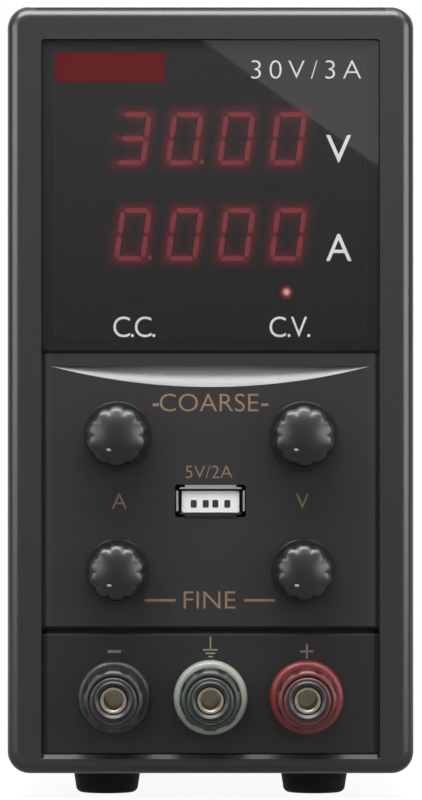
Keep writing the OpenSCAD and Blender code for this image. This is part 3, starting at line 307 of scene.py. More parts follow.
circuit_board = grained("circuit_board", board_colour, 0.34, grain=1600.0, height=0.004,
                        extra_height=raised(board_traces, 0.03))
pot_metal = grained("pot_metal", (170, 172, 176), 0.34, grain=1400.0, stretch=(1.0, 0.1, 1.0), Metallic=1.0)
brass = grained("brass", (205, 172, 98), 0.3, grain=1200.0, stretch=(1.0, 0.2, 1.0), Metallic=1.0)
tape_and_ferrite = grained("tape_and_ferrite", transformer_colour, 0.5, grain=700.0, height=0.02,
                           stretch=(1.0, 1.0, 4.0))
sink_aluminium = grained("sink_aluminium", (178, 180, 184), 0.36, grain=2200.0, stretch=(1.0, 1.0, 0.03),
                         Metallic=1.0)
package_black = grained("package_black", (32, 32, 34), 0.5, grain=5200.0, height=0.01)
sleeved_can = grained("sleeved_can", can_colour, 0.3, grain=900.0, height=0.003)
wound_copper = grained("wound_copper", choke_colour_painted_turn_shade, 0.3, grain=2400.0,
                       extra_height=raised(choke_turns, 0.35))
output_sleeves = grained("output_sleeves", lead_colours((34, 34, 36), (60, 130, 72), (170, 36, 38)), 0.42,
                         grain=2600.0)
mains_sleeves = grained("mains_sleeves", lead_colours((96, 60, 40), (150, 160, 60), (44, 74, 150)), 0.42,
                        grain=2600.0)
ribbon_sleeve = grained("ribbon_sleeve", ribbon_colour_painted_groove_shade, 0.5, grain=2600.0,
                        extra_height=raised(ribbon_ridges, 0.3))
dress(circuit_board, "front_board", "main_board")
dress(pot_metal, "potentiometers")
dress(brass, "post_nuts", "board_standoffs")
dress(tape_and_ferrite, "transformer")
dress(sink_aluminium, "heatsinks")
dress(package_black, "power_transistors")
dress(sleeved_can, "capacitors")
dress(wound_copper, "chokes")
dress(output_sleeves, "output_leads")
dress(mains_sleeves, "mains_leads")
dress(ribbon_sleeve, "display_ribbon")


# Read-outs: two four-digit LED modules on the front board, black faced, with red diffusers that stand 0.4 mm
# proud. The lit segments glow and tint the face round them. The upper one reads volts and the lower one
# amps.
DIGIT_PITCH = 10.8
HALF_HIGH = 5.04
HALF_WIDE = 2.72
STROKE = 1.08
UPRIGHT_REACH = HALF_HIGH / 2 - 0.2
LEVEL_REACH = HALF_WIDE - 0.16
LEAN = math.tan(math.radians(8))
POINT_RADIUS = 0.5
LIT_THICK = 0.07
FILM_DEPTH = 0.37
GLOW_REACH = 1.4
volts_z = middle("voltage_display")[2]
amps_z = middle("current_display")[2]
module_face = span("voltage_display")[0][1]
STROKES_OF = {"0": "abcdef", "3": "abcdg"}
STROKE_PLACES = {  # middle across, middle up, and whether it is upright, in half digits
    "a": (0, 1, 0), "g": (0, 0, 0), "d": (0, -1, 0), "b": (1, 0.5, 1), "c": (1, -0.5, 1),
    "e": (-1, -0.5, 1), "f": (-1, 0.5, 1)}


def add_piece(name, points, faces, material, body="case", slot=None, smooth=False):
    """A mesh object from an array of points in millimetres and faces of point numbers, riding on a body."""
    mesh = bpy.data.meshes.new(name)
    mesh.from_pydata((np.asarray(points, float) * MM).tolist(), [], [list(map(int, f)) for f in faces])
    mesh.polygons.foreach_set("use_smooth", np.full(len(mesh.polygons), smooth))
    mesh.materials.append(material)
    piece = bpy.data.objects.new(name, mesh)
    bpy.context.scene.collection.objects.link(piece)
    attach(piece, body)
    return piece


def grid_faces(rows, columns, round_rows=False, round_columns=False):
    """The four-sided faces between neighbouring points of a grid, which may close on itself either way."""
    r = np.arange(rows if round_rows else rows - 1)[:, None]
    c = np.arange(columns if round_columns else columns - 1)[None, :]
    r2, c2 = (r + 1) % rows, (c + 1) % columns
    corners = (r * columns + c, r * columns + c2, r2 * columns + c2, r2 * columns + c)
    return np.stack(np.broadcast_arrays(*corners), -1).reshape(-1, 4)


def circle(count):
    """Points of a circle of radius 1 across and up, anticlockwise from the right, without the last one."""
    turn = np.linspace(0, 2 * np.pi, count, endpoint=False)
    return np.stack([np.cos(turn), np.sin(turn)], 1)


def prisms(outlines, front, back):
    """Points and faces of upright bars. Each outline is an anticlockwise ring across and up. It stands at
    the front and at the back, walls join its two rings, and the rings close the ends."""
    outlines = np.asarray(outlines, float)[:, None]
    count, _, sides, _ = outlines.shape
    across, up = np.repeat(outlines, 2, axis=1).transpose(3, 0, 1, 2)
    depth = np.broadcast_to(np.array([front, back])[:, None], (count, 2, sides))
    k = np.arange(sides)
    j = (k + 1) % sides
    walls = np.stack([j, k, sides + k, sides + j], 1)
    first = 2 * sides * np.arange(count)[:, None]
    faces = [*(first + k), *(first + 2 * sides - 1 - k), *(first[:, :, None] + walls).reshape(-1, 4)]
    return np.stack([across, depth, up], -1).reshape(-1, 3), faces


def stroke_lines(words, middle_z):
    """Start and end of each lit stroke's middle line, leaning with the digit, as an array of (n, 2, 2)."""
    lines = []
    for index, mark in enumerate(words):
        for letter in STROKES_OF[mark]:
            across, up, upright = STROKE_PLACES[letter]
            x, z = across * HALF_WIDE, up * HALF_HIGH
            dx, dz = (0.0, UPRIGHT_REACH) if upright else (LEVEL_REACH, 0.0)
            ends = [(x - dx, z - dz), (x + dx, z + dz)]
            lines.append([((index - 1.5) * DIGIT_PITCH + a + LEAN * b, middle_z + b) for a, b in ends])
    return np.array(lines)


def lit_digits(name, words, point_after, middle_z):
    """Each stroke is a bar with pointed ends, six points round, that stands a little before its diffuser's
    face, and the decimal point is a twelve-sided disc."""
    lines = stroke_lines(words, middle_z)
    start, end = lines[:, 0], lines[:, 1]
    along = (end - start) / np.linalg.norm(end - start, axis=1, keepdims=True)
    side = np.stack([-along[:, 1], along[:, 0]], 1)
    half = STROKE / 2
    outline = np.stack([start, start + (along - side) * half, end - (along + side) * half, end,
                        end - (along - side) * half, start + (along + side) * half], 1)
    layers = (module_face - LIT_THICK, module_face)
    points, faces = prisms(outline, *layers)
    dot_middle = ((point_after - 1.5) * DIGIT_PITCH + 3.6, middle_z - HALF_HIGH + 0.2)
    dot_points, dot_faces = prisms([dot_middle + POINT_RADIUS * circle(12)], *layers)
    faces += [face + len(points) for face in dot_faces]
    add_piece(name, np.concatenate([points, dot_points]), faces, stroke_light, slot="display_face")


def glow_face(name, words, middle_z):
    """A film on the module's face, whose glow is a bell curve of the distance to the nearest stroke."""
    rows, columns = 61, 181
    x, z = np.meshgrid(np.linspace(-22.6, 22.6, columns), np.linspace(-7.4, 7.4, rows))
    flat = np.stack([x.ravel(), z.ravel() + middle_z], 1)
    lines = stroke_lines(words, middle_z)
    start, along = lines[:, 0], lines[:, 1] - lines[:, 0]
    t = ((flat[:, None] - start) * along).sum(-1) / (along ** 2).sum(-1)
    near = start + np.clip(t, 0, 1)[..., None] * along
    distance = np.linalg.norm(flat[:, None] - near, axis=-1).min(1)
    glow = np.exp(-(distance / GLOW_REACH) ** 2)
    points = np.stack([flat[:, 0], np.full(len(flat), module_face + FILM_DEPTH), flat[:, 1]], 1)
    film = add_piece(name, points, grid_faces(rows, columns), face_glow, slot="display_face")
    film.data.attributes.new("glow", "FLOAT", "POINT").data.foreach_set("value", glow.astype(np.float32))


readout_red = grained("readout_red", (26, 9, 11), 0.5, grain=2400.0, height=0.004)
stroke_light, tree, shader = plain_material("stroke_light", Base_Color=tone(120, 20, 24), Roughness=0.5,
                                            Emission_Strength=1.0)
place = put(tree, "ShaderNodeTexCoord").outputs["Object"]
uneven = put(tree, "ShaderNodeTexNoise", {"Vector": place, "Scale": 500.0, "Detail": 2.0}).outputs["Fac"]
tree.links.new(blend_colours(tree, uneven, (1.3, 0.12, 0.21, 1), (1.9, 0.2, 0.3, 1)),
               shader.inputs["Emission Color"])
face_glow, tree, shader = plain_material("face_glow", Base_Color=tone(22, 18, 19), Roughness=0.55,
                                         Emission_Strength=1.0)
glow = put(tree, "ShaderNodeAttribute", attribute_name="glow").outputs["Fac"]
tree.links.new(blend_colours(tree, glow, (0, 0, 0, 1), (0.66, 0.008, 0.028, 1)),
               shader.inputs["Emission Color"])
dress(readout_red, "voltage_display", "current_display")
lit_digits("volts_strokes", "3000", 1, volts_z)
lit_digits("amps_strokes", "0000", 0, amps_z)
glow_face("volts_glow", "3000", volts_z)
glow_face("amps_glow", "0000", amps_z)


# Mode lamps: two round-nosed 3 mm LEDs of tinted clear resin on the front board. The right one is lit, with
# a pale core where the chip shows through the nose.
LAMP_RADIUS = 1.9
RED_SPREAD = (1.8, 0.3)
CORE_SPREAD = (1.05, 0.1)
lamp_x = span("status_leds")[1][0] - LAMP_RADIUS
lamp_z = middle("status_leds")[2]


def ramp(tree, value, start, end, low=0.0, high=1.0):
    """A smooth step from low at start to high at end."""
    return put(tree, "ShaderNodeMapRange", {"Value": value, "From Min": start, "From Max": end,
                                            "To Min": low, "To Max": high},
               interpolation_type="SMOOTHSTEP").outputs[0]


def distance_from(tree, x, z):
    """Distance in millimetres from an axis that runs from front to back."""
    across = sums(tree, "SUBTRACT", axis_of(tree, "X"), x)
    up = sums(tree, "SUBTRACT", axis_of(tree, "Z"), z)
    return sums(tree, "SQRT", sums(tree, "ADD", sums(tree, "MULTIPLY", across, across),
                                   sums(tree, "MULTIPLY", up, up)))


lamp_resin = grained("lamp_resin", (70, 14, 16), 0.25, grain=2200.0, height=0.002, Emission_Strength=1.0)
tree = lamp_resin.node_tree
far = distance_from(tree, lamp_x, lamp_z)
red_part = blend_colours(tree, ramp(tree, far, *RED_SPREAD), (0, 0, 0, 1), (2.2, 0.14, 0.16, 1))
tree.links.new(blend_colours(tree, ramp(tree, far, *CORE_SPREAD), red_part, (5.8, 3.5, 3.3, 1)),
               tree.nodes["Principled BSDF"].inputs["Emission Color"])
dress(lamp_resin, "status_leds")


# Window: 2 mm smoked acrylic pressed into the bezel's upper pocket, printed in white with the units, the
# modes and the rating, and with a plain dark red bar.
INK_THICK = 0.03
smoked_acrylic, tree, shader = plain_material("smoked_acrylic", IOR=1.49, Transmission_Weight=0.86,
                                              Specular_IOR_Level=0.5)
lay_grain(tree, shader, (0.15, 0.143, 0.147, 1), 0.012, grain=300.0, mottle=0.04, spread=0.004)
dress(smoked_acrylic, "display_window")


def lettering(name, words, box, face, material, weight, apart=1.0):
    """Words in a plain face, stretched to fill a box of left, right, bottom and top in millimetres. They are
    an ink film that stands on a surface whose front is at y = face."""
    curve = bpy.data.curves.new(name, "FONT")
    curve.body = words
    curve.extrude = 0.01
    curve.offset = weight
    curve.space_character = apart
    curve.resolution_u = 5
    source = bpy.data.objects.new(name + "_outline", curve)
    bpy.context.scene.collection.objects.link(source)
    bpy.context.view_layer.update()
    mesh = bpy.data.meshes.new_from_object(source.evaluated_get(bpy.context.evaluated_depsgraph_get()))
    bpy.data.objects.remove(source)
    flat = np.zeros(len(mesh.vertices) * 3)
    mesh.vertices.foreach_get("co", flat)
    flat = flat.reshape(-1, 3)
    low, high = flat.min(0), flat.max(0)
    share = (flat - low) / (high - low)
    left, right, bottom, top = box
    placed = np.stack([left + share[:, 0] * (right - left), face - INK_THICK * share[:, 2],
                       bottom + share[:, 1] * (top - bottom)], 1) * MM
    mesh.vertices.foreach_set("co", placed.ravel())
    mesh.materials.clear()
    mesh.materials.append(material)
    mesh.update()
    piece = bpy.data.objects.new(name, mesh)
    bpy.context.scene.collection.objects.link(piece)
    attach(piece, "case")


def block(name, box, front, back, material, slot):
    """A flat bar or a block between left, right, bottom and top, with eight corners."""
    left, right, bottom, top = box
    corners = [(left, bottom), (right, bottom), (right, top), (left, top)]
    return add_piece(name, *prisms([corners], front, back), material, slot=slot)


def ink(name, colour, roughness=0.45, mottle=0.1, **sockets):
    """Printing ink, matt and a little uneven."""
    return grained(name, colour, roughness, grain=3000.0, height=0.003, mottle=mottle, **sockets)


window_face = span("display_window")[0][1]
window_top = span("display_window")[1][2]
white_ink = ink("white_ink", (202, 202, 204), 0.5, mottle=0.08)
badge_red = ink("badge_red", (78, 8, 14), 0.5, Specular_IOR_Level=0.15)
for name, words, left, right, bottom, top, weight, apart in (
        ("unit_volts", "V", 24.1, 29.3, volts_z - 5.1, volts_z + 0.65, -0.002, 1.0),
        ("unit_amps", "A", 24.1, 29.4, amps_z - 5.58, amps_z + 0.02, -0.002, 1.0),
        ("mode_current", "C.C.", -20.25, -11.5, lamp_z - 9.46, lamp_z - 5.16, -0.006, 0.85),
        ("mode_voltage", "C.V.", 12.3, 20.8, lamp_z - 9.46, lamp_z - 5.16, -0.006, 0.9),
        ("rating", "30V/3A", 8.5, 31.4, window_top - 8.0, window_top - 4.2, -0.017, 1.32)):
    lettering(name, words, (left, right, bottom, top), window_face, white_ink, weight,
              apart)
block("plain_bar", (-32.4, -9.56, window_top - 8.8, window_top - 2.6), window_face - INK_THICK, window_face,
      badge_red, "smoked_window")


# Control panel: a moulded insert of satin dark grey ABS, printed in muted gold. The scoop under its brow is
# painted silver, a painted highlight of the light it catches. The four potentiometers stand through it on
# their bushings.
SCOOP_HIGH = 4.4
SCOOP_DEEP = 3.0
BROW_HIGH = 2.6
HALF_DASH = 0.28
PAINTED_HIGHLIGHT_BAND = (3.0, 1.2)
PAINTED_SHADE_BAND = (1.1, 0.7)
panel_high = span("control_panel")[1]
panel_face = bezel_face + 1.4
scoop_top = panel_high[2] - BROW_HIGH
half_chord = panel_high[0] - 1.6
lip_radius = (half_chord ** 2 + SCOOP_HIGH ** 2) / (2 * SCOOP_HIGH)


def sides_painted_light_and_shade(tree, node, plain):
    """A panel's own colour, with a painted highlight a little inside its sides, and painted shade, nearly
    black, along them, where the pocket's walls shade it."""
    inward = sums(tree, "SUBTRACT", span(node)[1][0], sums(tree, "ABSOLUTE", axis_of(tree, "X")))
    lighter = tone(*(1.16 * value for value in plain))
    # Painted highlight in a band inside the sides, and painted shade along the sides themselves.
    inner = blend_colours(tree, ramp(tree, inward, *PAINTED_HIGHLIGHT_BAND), tone(*plain), lighter)
    return blend_colours(tree, ramp(tree, inward, *PAINTED_SHADE_BAND), inner, tone(6, 6, 6))


def control_colour_painted_scoop_light(tree):
    """A painted highlight of silver in the scoop, which is what lies deeper than the panel's face under the
    brow and above an arc, and dark grey elsewhere. The silver is painted lighter under the brow, against its
    shadow, and duller at the lip and the ends, as painted light and shade."""
    x, y, z = (axis_of(tree, axis) for axis in "XYZ")
    arc = sums(tree, "SQRT", sums(tree, "SUBTRACT", lip_radius ** 2, sums(tree, "MULTIPLY", x, x)))
    above_lip = sums(tree, "GREATER_THAN", sums(tree, "ADD", z, arc),
                     scoop_top - SCOOP_HIGH + lip_radius - 0.05)
    deep = sums(tree, "GREATER_THAN", y, panel_face + 0.04)
    shallow = sums(tree, "LESS_THAN", y, panel_face + SCOOP_DEEP)
    below_brow = sums(tree, "LESS_THAN", z, scoop_top - 0.02)
    scoop = sums(tree, "MULTIPLY", sums(tree, "MULTIPLY", above_lip, deep),
                 sums(tree, "MULTIPLY", shallow, below_brow))
    down = sums(tree, "DIVIDE", sums(tree, "SUBTRACT", scoop_top, z), SCOOP_HIGH)
    # Painted light and shade in the silver: lighter under the brow's shadow, duller towards the lip and the
    # ends.
    silver = blend_colours(tree, ramp(tree, down, 0.25, 0.9), tone(206, 206, 208), tone(138, 138, 140))
    ends = ramp(tree, sums(tree, "ABSOLUTE", x), 6.0, 38.0, 1.0, 0.4)
    silver = put(tree, "ShaderNodeVectorMath", {0: silver, 1: ends}, operation="MULTIPLY").outputs[0]
    return blend_colours(tree, scoop, sides_painted_light_and_shade(tree, "control_panel", (45, 43, 45)), silver)


control_plastic = grained("control_plastic", control_colour_painted_scoop_light, 0.28, grain=7000.0, height=0.003, mottle=0.05,
                          spread=0.05)
gold_ink = ink("gold_ink", (136, 113, 84))
dress(control_plastic, "control_panel")
coarse_z = middle("coarse_current_knob")[2]
fine_z = middle("fine_current_knob")[2]
port_z = middle("usb_shell")[2]
for name, words, left, right, bottom, top, weight in (
        ("row_coarse", "COARSE", -10.6, 9.98, coarse_z + 5.15, coarse_z + 8.85, -0.008),
        ("row_fine", "FINE", -5.6, 5.2, fine_z - 7.74, fine_z - 4.19, -0.008),
        ("port_rating", "5V/2A", -5.2, 4.57, port_z + 4.75, port_z + 7.35, -0.012),
        ("column_amps", "A", -20.6, -17.46, port_z - 1.65, port_z + 1.55, -0.008),
        ("column_volts", "V", 17.8, 20.5, port_z - 1.65, port_z + 1.55, -0.008)):
    lettering(name, words, (left, right, bottom, top), panel_face, gold_ink, weight)
for name, left, right, z in (("coarse_dash_left", -12.06, -10.8, coarse_z + 6.55),
                             ("coarse_dash_right", 10.6, 12.06, coarse_z + 6.55),
                             ("fine_dash_left", -13.7, -7.3, fine_z - 6.04),
                             ("fine_dash_right", 7.07, 13.5, fine_z - 6.04)):
    block(name, (left, right, z - HALF_DASH, z + HALF_DASH), panel_face - INK_THICK, panel_face, gold_ink,
          "control_plastic")


# Knobs: four push-on mouldings of satin black ABS, with a domed face whose rounded edge is cut by ten finger
# flutes, and a plain skirt, painted deeper black as shade under the grip. Each turns its potentiometer's
# shaft, and a small pale dot is its pointer.
LOBES = 10
FLUTE_DEEP = 0.42
FLUTES_FROM, FLUTES_FULL = 0.62, 0.9
DOME_SHARE = 2.3
EDGE_RADIUS = 1.75
EDGE_SPLIT = math.radians(40)
SKIRT_HIGH = 2.8
POCKET_RADIUS = 5.8
POCKET_DEEP = 2.6
BORE_RADIUS = 3.06
BORE_END = 3.2
POINTER_ANGLE = math.radians(240)
knob_front, knob_back = (corner[1] for corner in span("coarse_current_knob"))
knob_deep = knob_back - knob_front
knob_x = middle("coarse_voltage_knob")[0]


def dome_shape(grip_r):
    """The dome's radius, and the radius and depth of the middle of the edge's arc, which touches it."""
    dome_r = DOME_SHARE * grip_r
    edge_x = grip_r - EDGE_RADIUS
    return dome_r, edge_x, dome_r - math.sqrt((dome_r - EDGE_RADIUS) ** 2 - edge_x ** 2)


def fan(centre, first, around, turned=False):
    """Triangles from one point to a ring of points whose first has a number."""
    k = np.arange(around)
    ends = (first + k, first + (k + 1) % around)
    return np.stack([np.full(around, centre), *(ends[::-1] if turned else ends)], 1)


def knob_shell(name, x, z, grip_r, body, node):
    """A profile of radius and depth turned about the knob's axis. Between its ten lobes the radius dips by
    the flutes' depth times 1 - |cos(5 * angle)|, fading in from 0.62 to 0.9 of the radius."""
    dome_r, edge_x, edge_deep = dome_shape(grip_r)
    lean = math.asin(edge_x / (dome_r - EDGE_RADIUS))
    dome_t = np.linspace(0, lean, 18)[1:]
    edge_t = np.linspace(lean, math.pi / 2, 12)[1:]
    dome = np.stack([dome_r * np.sin(dome_t), dome_r * (1 - np.cos(dome_t))], 1)
    arc = np.stack([edge_x + EDGE_RADIUS * np.sin(edge_t), edge_deep - EDGE_RADIUS * np.cos(edge_t)], 1)
    side_end = knob_deep - SKIRT_HIGH
    side = np.stack([np.full(8, grip_r), np.linspace(arc[-1, 1], side_end, 9)[1:]], 1)
    skirt_r = grip_r * 1.03 + 0.6
    skirt = np.array([(skirt_r - 0.12, side_end), (skirt_r, side_end + 0.12), (skirt_r, knob_deep - 0.15),
                      (skirt_r - 0.15, knob_deep), (POCKET_RADIUS + 0.05, knob_deep),
                      (POCKET_RADIUS, knob_deep - 0.05), (POCKET_RADIUS, knob_deep - POCKET_DEEP),
                      (BORE_RADIUS, knob_deep - POCKET_DEEP), (BORE_RADIUS, BORE_END)])
    profile = np.concatenate([dome, arc, side, skirt])
    fade = np.clip((profile[:, 0] / grip_r - FLUTES_FROM) / (FLUTES_FULL - FLUTES_FROM), 0, 1)
    fade = fade ** 2 * (3 - 2 * fade)
    fade[-len(skirt):] = 0
    rows, around = len(profile), 240
    angle = np.linspace(0, 2 * np.pi, around, endpoint=False)
    dip = FLUTE_DEEP * (1 - np.abs(np.cos(LOBES / 2 * (angle - math.pi / 2))))
    radius = profile[:, :1] - fade[:, None] * dip[None, :]
    depth = np.broadcast_to(knob_front + profile[:, 1:], radius.shape)
    points = np.stack([x + radius * np.cos(angle), depth, z + radius * np.sin(angle)], -1)
    points = np.concatenate([points.reshape(-1, 3), [(x, knob_front, z)], [(x, knob_front + BORE_END, z)]])
    faces = [*fan(rows * around, 0, around), *grid_faces(rows, around, round_columns=True)[:, ::-1],
             *fan(rows * around + 1, (rows - 1) * around, around, turned=True)]
    piece = add_piece(name, points, faces, knob_plastic, body, "knob_plastic", smooth=True)
    piece.modifiers.new("edges", "EDGE_SPLIT").split_angle = EDGE_SPLIT
    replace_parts(piece, node)


def pointer_dot(name, x, z, grip_r, body):
    """A small lens of paint on the dome, wider than high, half way out towards seven o'clock."""
    out = 0.5 * grip_r
    dome_r = dome_shape(grip_r)[0]
    px, pz = x + out * math.cos(POINTER_ANGLE), z + out * math.sin(POINTER_ANGLE)
    face = knob_front + dome_r - math.sqrt(dome_r ** 2 - out ** 2)
    ring = circle(16) * (0.56, 0.34)
    rings = [np.stack([px + r * ring[:, 0], np.full(16, face + y), pz + r * ring[:, 1]], 1)
             for r, y in ((1.0, 0.12), (0.9, -0.03), (0.5, -0.09))]
    points = np.concatenate([*rings, [(px, face - 0.11, pz)]])
    faces = [*grid_faces(3, 16, round_columns=True), *fan(48, 32, 16), np.arange(16)[::-1]]
    add_piece(name, points, faces, dot_paint, body, "knob_plastic", smooth=True)


def knob_colour_painted_skirt_shade(tree):
    """Satin black, with painted shade making the skirt deeper."""
    skirt = sums(tree, "GREATER_THAN", axis_of(tree, "Y"), knob_back - SKIRT_HIGH - 0.05)
    return blend_colours(tree, skirt, tone(24, 23, 24), tone(10, 10, 10))


knob_plastic = grained("knob_plastic", knob_colour_painted_skirt_shade, 0.32, grain=7000.0, height=0.003, mottle=0.08,
                       spread=0.06, Specular_IOR_Level=0.58)
dot_paint = grained("dot_paint", (154, 152, 150), 0.4, grain=3000.0, height=0.002)
shaft_metal = grained("shaft_metal", (190, 190, 192), 0.28, grain=1500.0, stretch=(1.0, 12.0, 1.0),
                      Metallic=1.0)
for row, z, radius in (("coarse", coarse_z, 6.4), ("fine", fine_z, 6.0)):
    for side, x in (("current", -knob_x), ("voltage", knob_x)):
        knob_shell(f"{row}_{side}_grip", x, z, radius, f"{row}_{side}_control", f"{row}_{side}_knob")
        pointer_dot(f"{row}_{side}_dot", x, z, radius, f"{row}_{side}_control")
        dress(shaft_metal, f"{row}_{side}_shaft")


# Charging port: a stamped nickel-plated shell with bent lips, a white insert that fills its mouth and four
# contact pads, nearly black, a painted shade of the pockets they lie in. It is soldered to the front board
# behind the panel's slot.
def port_colour_painted_light_and_shade(tree):
    """A painted highlight on the bent lips at the top and the sides, painted shade, nearly black, on the
    shell's cut edge, and a duller painted shade below, where the panel shades the lower lip.
    """
    lip_aside, lip_up, low_edge = 6.72, 2.5, 2.4
    aside = sums(tree, "GREATER_THAN", sums(tree, "ABSOLUTE", axis_of(tree, "X")), lip_aside)
    above = sums(tree, "GREATER_THAN", axis_of(tree, "Z"), port_z + lip_up)
    below = sums(tree, "LESS_THAN", axis_of(tree, "Z"), port_z - low_edge)
    lip = blend_colours(tree, sums(tree, "MAXIMUM", aside, above), tone(26, 26, 27), tone(196, 197, 200))
    return blend_colours(tree, below, lip, tone(70, 71, 70))


port_steel = grained("port_steel", port_colour_painted_light_and_shade, 0.34, grain=3000.0, height=0.002, stretch=(1, 0.1, 1),
                     Metallic=1.0)
port_white = grained("port_white", (242, 242, 244), 0.5, grain=3000.0, height=0.003, mottle=0.05)
# The pads' near-black is painted shade.
pad_painted_shade = grained("pad_painted_shade", (24, 21, 22), 0.5, grain=3000.0, height=0.001)
dress(port_steel, "usb_shell")
insert_front = bezel_face + 1.9
insert_box = (-6.0, 6.0, port_z - 2.42, port_z + 2.05)
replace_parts(block("port_insert", insert_box, insert_front, insert_front + 7.0, port_white, "white_plastic"),
            "usb_insert")
pad_middles = np.array([(across, port_z - 0.62) for across in (-3.5, -1.0, 1.0, 3.5)])
ring = circle(16)
# Each pad's outline is a circle whose radius grows towards the corners, by the eighth powers of its two
# sides.
squircle = ring / (ring ** 8).sum(1, keepdims=True) ** 0.125
pads = pad_middles[:, None] + squircle * (0.64, 0.8)
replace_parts(add_piece("port_pads", *prisms(pads, insert_front - 0.05, insert_front + 0.4), pad_painted_shade,
                      slot="contact_gold"), "usb_contacts")


# Terminal panel: a darker moulded insert with a rounded upper edge, pressed into the bezel's lower pocket
# and printed with the polarity marks and the earth symbol.
panel_top = span("terminal_panel")[1][2]


def rounded_top(tree):
    """A height that falls by 0.3 mm towards the panel's upper edge."""
    return ramp(tree, axis_of(tree, "Z"), panel_top - 1.4, panel_top - 0.2, 0.0, -0.3)


def terminal_colour_painted_light_and_shade(tree):
    """Nearly black grey, with painted light and shade along its sides and a painted highlight on its upper
    edge.
    """
    edge = ramp(tree, axis_of(tree, "Z"), panel_top - 1.5, panel_top - 0.7)
    return blend_colours(tree, edge, sides_painted_light_and_shade(tree, "terminal_panel", (35, 33, 34)),
                         sides_painted_light_and_shade(tree, "terminal_panel", (46, 44, 45)))


terminal_plastic = grained("terminal_plastic", terminal_colour_painted_light_and_shade, 0.3, grain=7000.0, height=0.003, mottle=0.05,
                           spread=0.05, extra_height=rounded_top)
dress(terminal_plastic, "terminal_panel")
terminal_face = bezel_face + 2.0
post_x, _, post_z = middle("positive_collar")
mark_ink = ink("mark_ink", (138, 128, 112))
for name, left, right, bottom, top in (
        ("minus_sign", -post_x - 1.45, -post_x + 1.35, 9.2, 9.8), ("earth_stem", -0.17, 0.17, 9.7, 12.6),
        ("plus_across", post_x - 1.3, post_x + 1.45, 9.3, 9.7),
        ("plus_up", post_x - 0.14, post_x + 0.28, 8.0, 11.0), ("earth_bar_0", -1.55, 1.55, 9.66, 10.0),
        ("earth_bar_1", -1.0, 1.0, 8.95, 9.27), ("earth_bar_2", -0.5, 0.5, 8.27, 8.57)):
    block(name, (left, right, post_z + bottom, post_z + top), terminal_face - INK_THICK, terminal_face,
          mark_ink, "terminal_plastic")


# Binding posts: a nickel-plated brass stem with a 4 mm bore, an insulating collar on the panel, a captive
# clamp washer and a fluted thumb nut of moulded plastic with a dished lip round the bore, in black, green
# and red.
GROOVE_RADIUS = 4.75
GROOVE_WIDE = 0.22
GROOVE_DEEP = 0.16
CAP_LIP = [(0.02, 3.0), (-0.42, 3.5), (-0.5, 3.68), (-0.42, 3.86), (0.02, 4.1)]
cap_face = span("ground_cap")[0][1]


def turned_shell(name, profile, axis_from, axis_to, material, body, slot, around=40):
    """A profile of distance along an axis and radius, turned about the axis between two points. First and
    last rows on the axis close the ends, and a profile that never touches it is closed on itself."""
    start, end = np.array(axis_from, float), np.array(axis_to, float)
    along = (end - start) / np.linalg.norm(end - start)
    side = np.cross(along, [0.0, 0.0, 1.0])
    up = np.cross(along, side)
    profile = np.array(profile, float)
    ring = circle(around) @ np.array([side, up])
    capped = profile[0, 1] == 0
    body_rows = profile[1:-1] if capped else profile
    points = (start + body_rows[:, None, :1] * along + body_rows[:, None, 1:] * ring).reshape(-1, 3)
    rows = len(body_rows)
    faces = [*grid_faces(rows, around, round_rows=not capped, round_columns=True)]
    if capped:
        points = np.concatenate([points, start + profile[[0, -1], :1] * along])
        faces = [*fan(rows * around, 0, around, turned=True), *faces,
                 *fan(rows * around + 1, (rows - 1) * around, around)]
    piece = add_piece(name, points, faces, material, body, slot, smooth=True)
    piece.modifiers.new("edges", "EDGE_SPLIT").split_angle = EDGE_SPLIT
    return piece


def cap_colours(x, inner_tone, outer_tone):
    """The cap's colour near the bore, and its colour outside a ring, about the post's axis."""
    def colour(tree):
        outside = ramp(tree, distance_from(tree, x, post_z), 4.1, 4.5)
        return blend_colours(tree, outside, tone(*inner_tone), tone(*outer_tone))
    return colour


def cap_groove(x):
    """A shallow ring groove on the cap's face, a bell curve of the distance from its middle line."""
    def height(tree):
        off = sums(tree, "DIVIDE", sums(tree, "SUBTRACT", distance_from(tree, x, post_z), GROOVE_RADIUS),
                   GROOVE_WIDE)
        bell = sums(tree, "EXPONENT", sums(tree, "MULTIPLY", sums(tree, "MULTIPLY", off, off), -1.0))
        return sums(tree, "MULTIPLY", bell, -GROOVE_DEEP)
    return height


nickel = grained("nickel", (196, 188, 172), 0.3, grain=2600.0, height=0.002, stretch=(1, 8, 1), spread=0.1,
                 Metallic=1.0)
for side, slot, x, collar_tone, inner_tone, outer_tone in (
        ("negative", "cap_black", -post_x, (22, 21, 22), (30, 29, 30), (28, 27, 29)),
        ("ground", "cap_green", 0.0, (158, 170, 155), (36, 40, 36), (34, 42, 36)),
        ("positive", "cap_red", post_x, (126, 38, 42), (44, 40, 38), (84, 26, 28))):
    collar_plastic = grained(f"collar_{side}", collar_tone, 0.46, height=0.002, mottle=0.05, Coat_Weight=0.1,
                             Coat_Roughness=0.15)
    cap_plastic = grained(f"cap_{side}", cap_colours(x, inner_tone, outer_tone), 0.4, height=0.003,
                          mottle=0.1, extra_height=cap_groove(x))
    dress(collar_plastic, f"{side}_collar")
    dress(cap_plastic, f"{side}_cap")
    dress(nickel, f"{side}_washer", f"{side}_socket")
    turned_shell(f"{side}_cap_lip", CAP_LIP, (x, cap_face, post_z), (x, cap_face + 1.0, post_z), cap_plastic,
                 f"{side}_thumb_nut", slot, around=64)


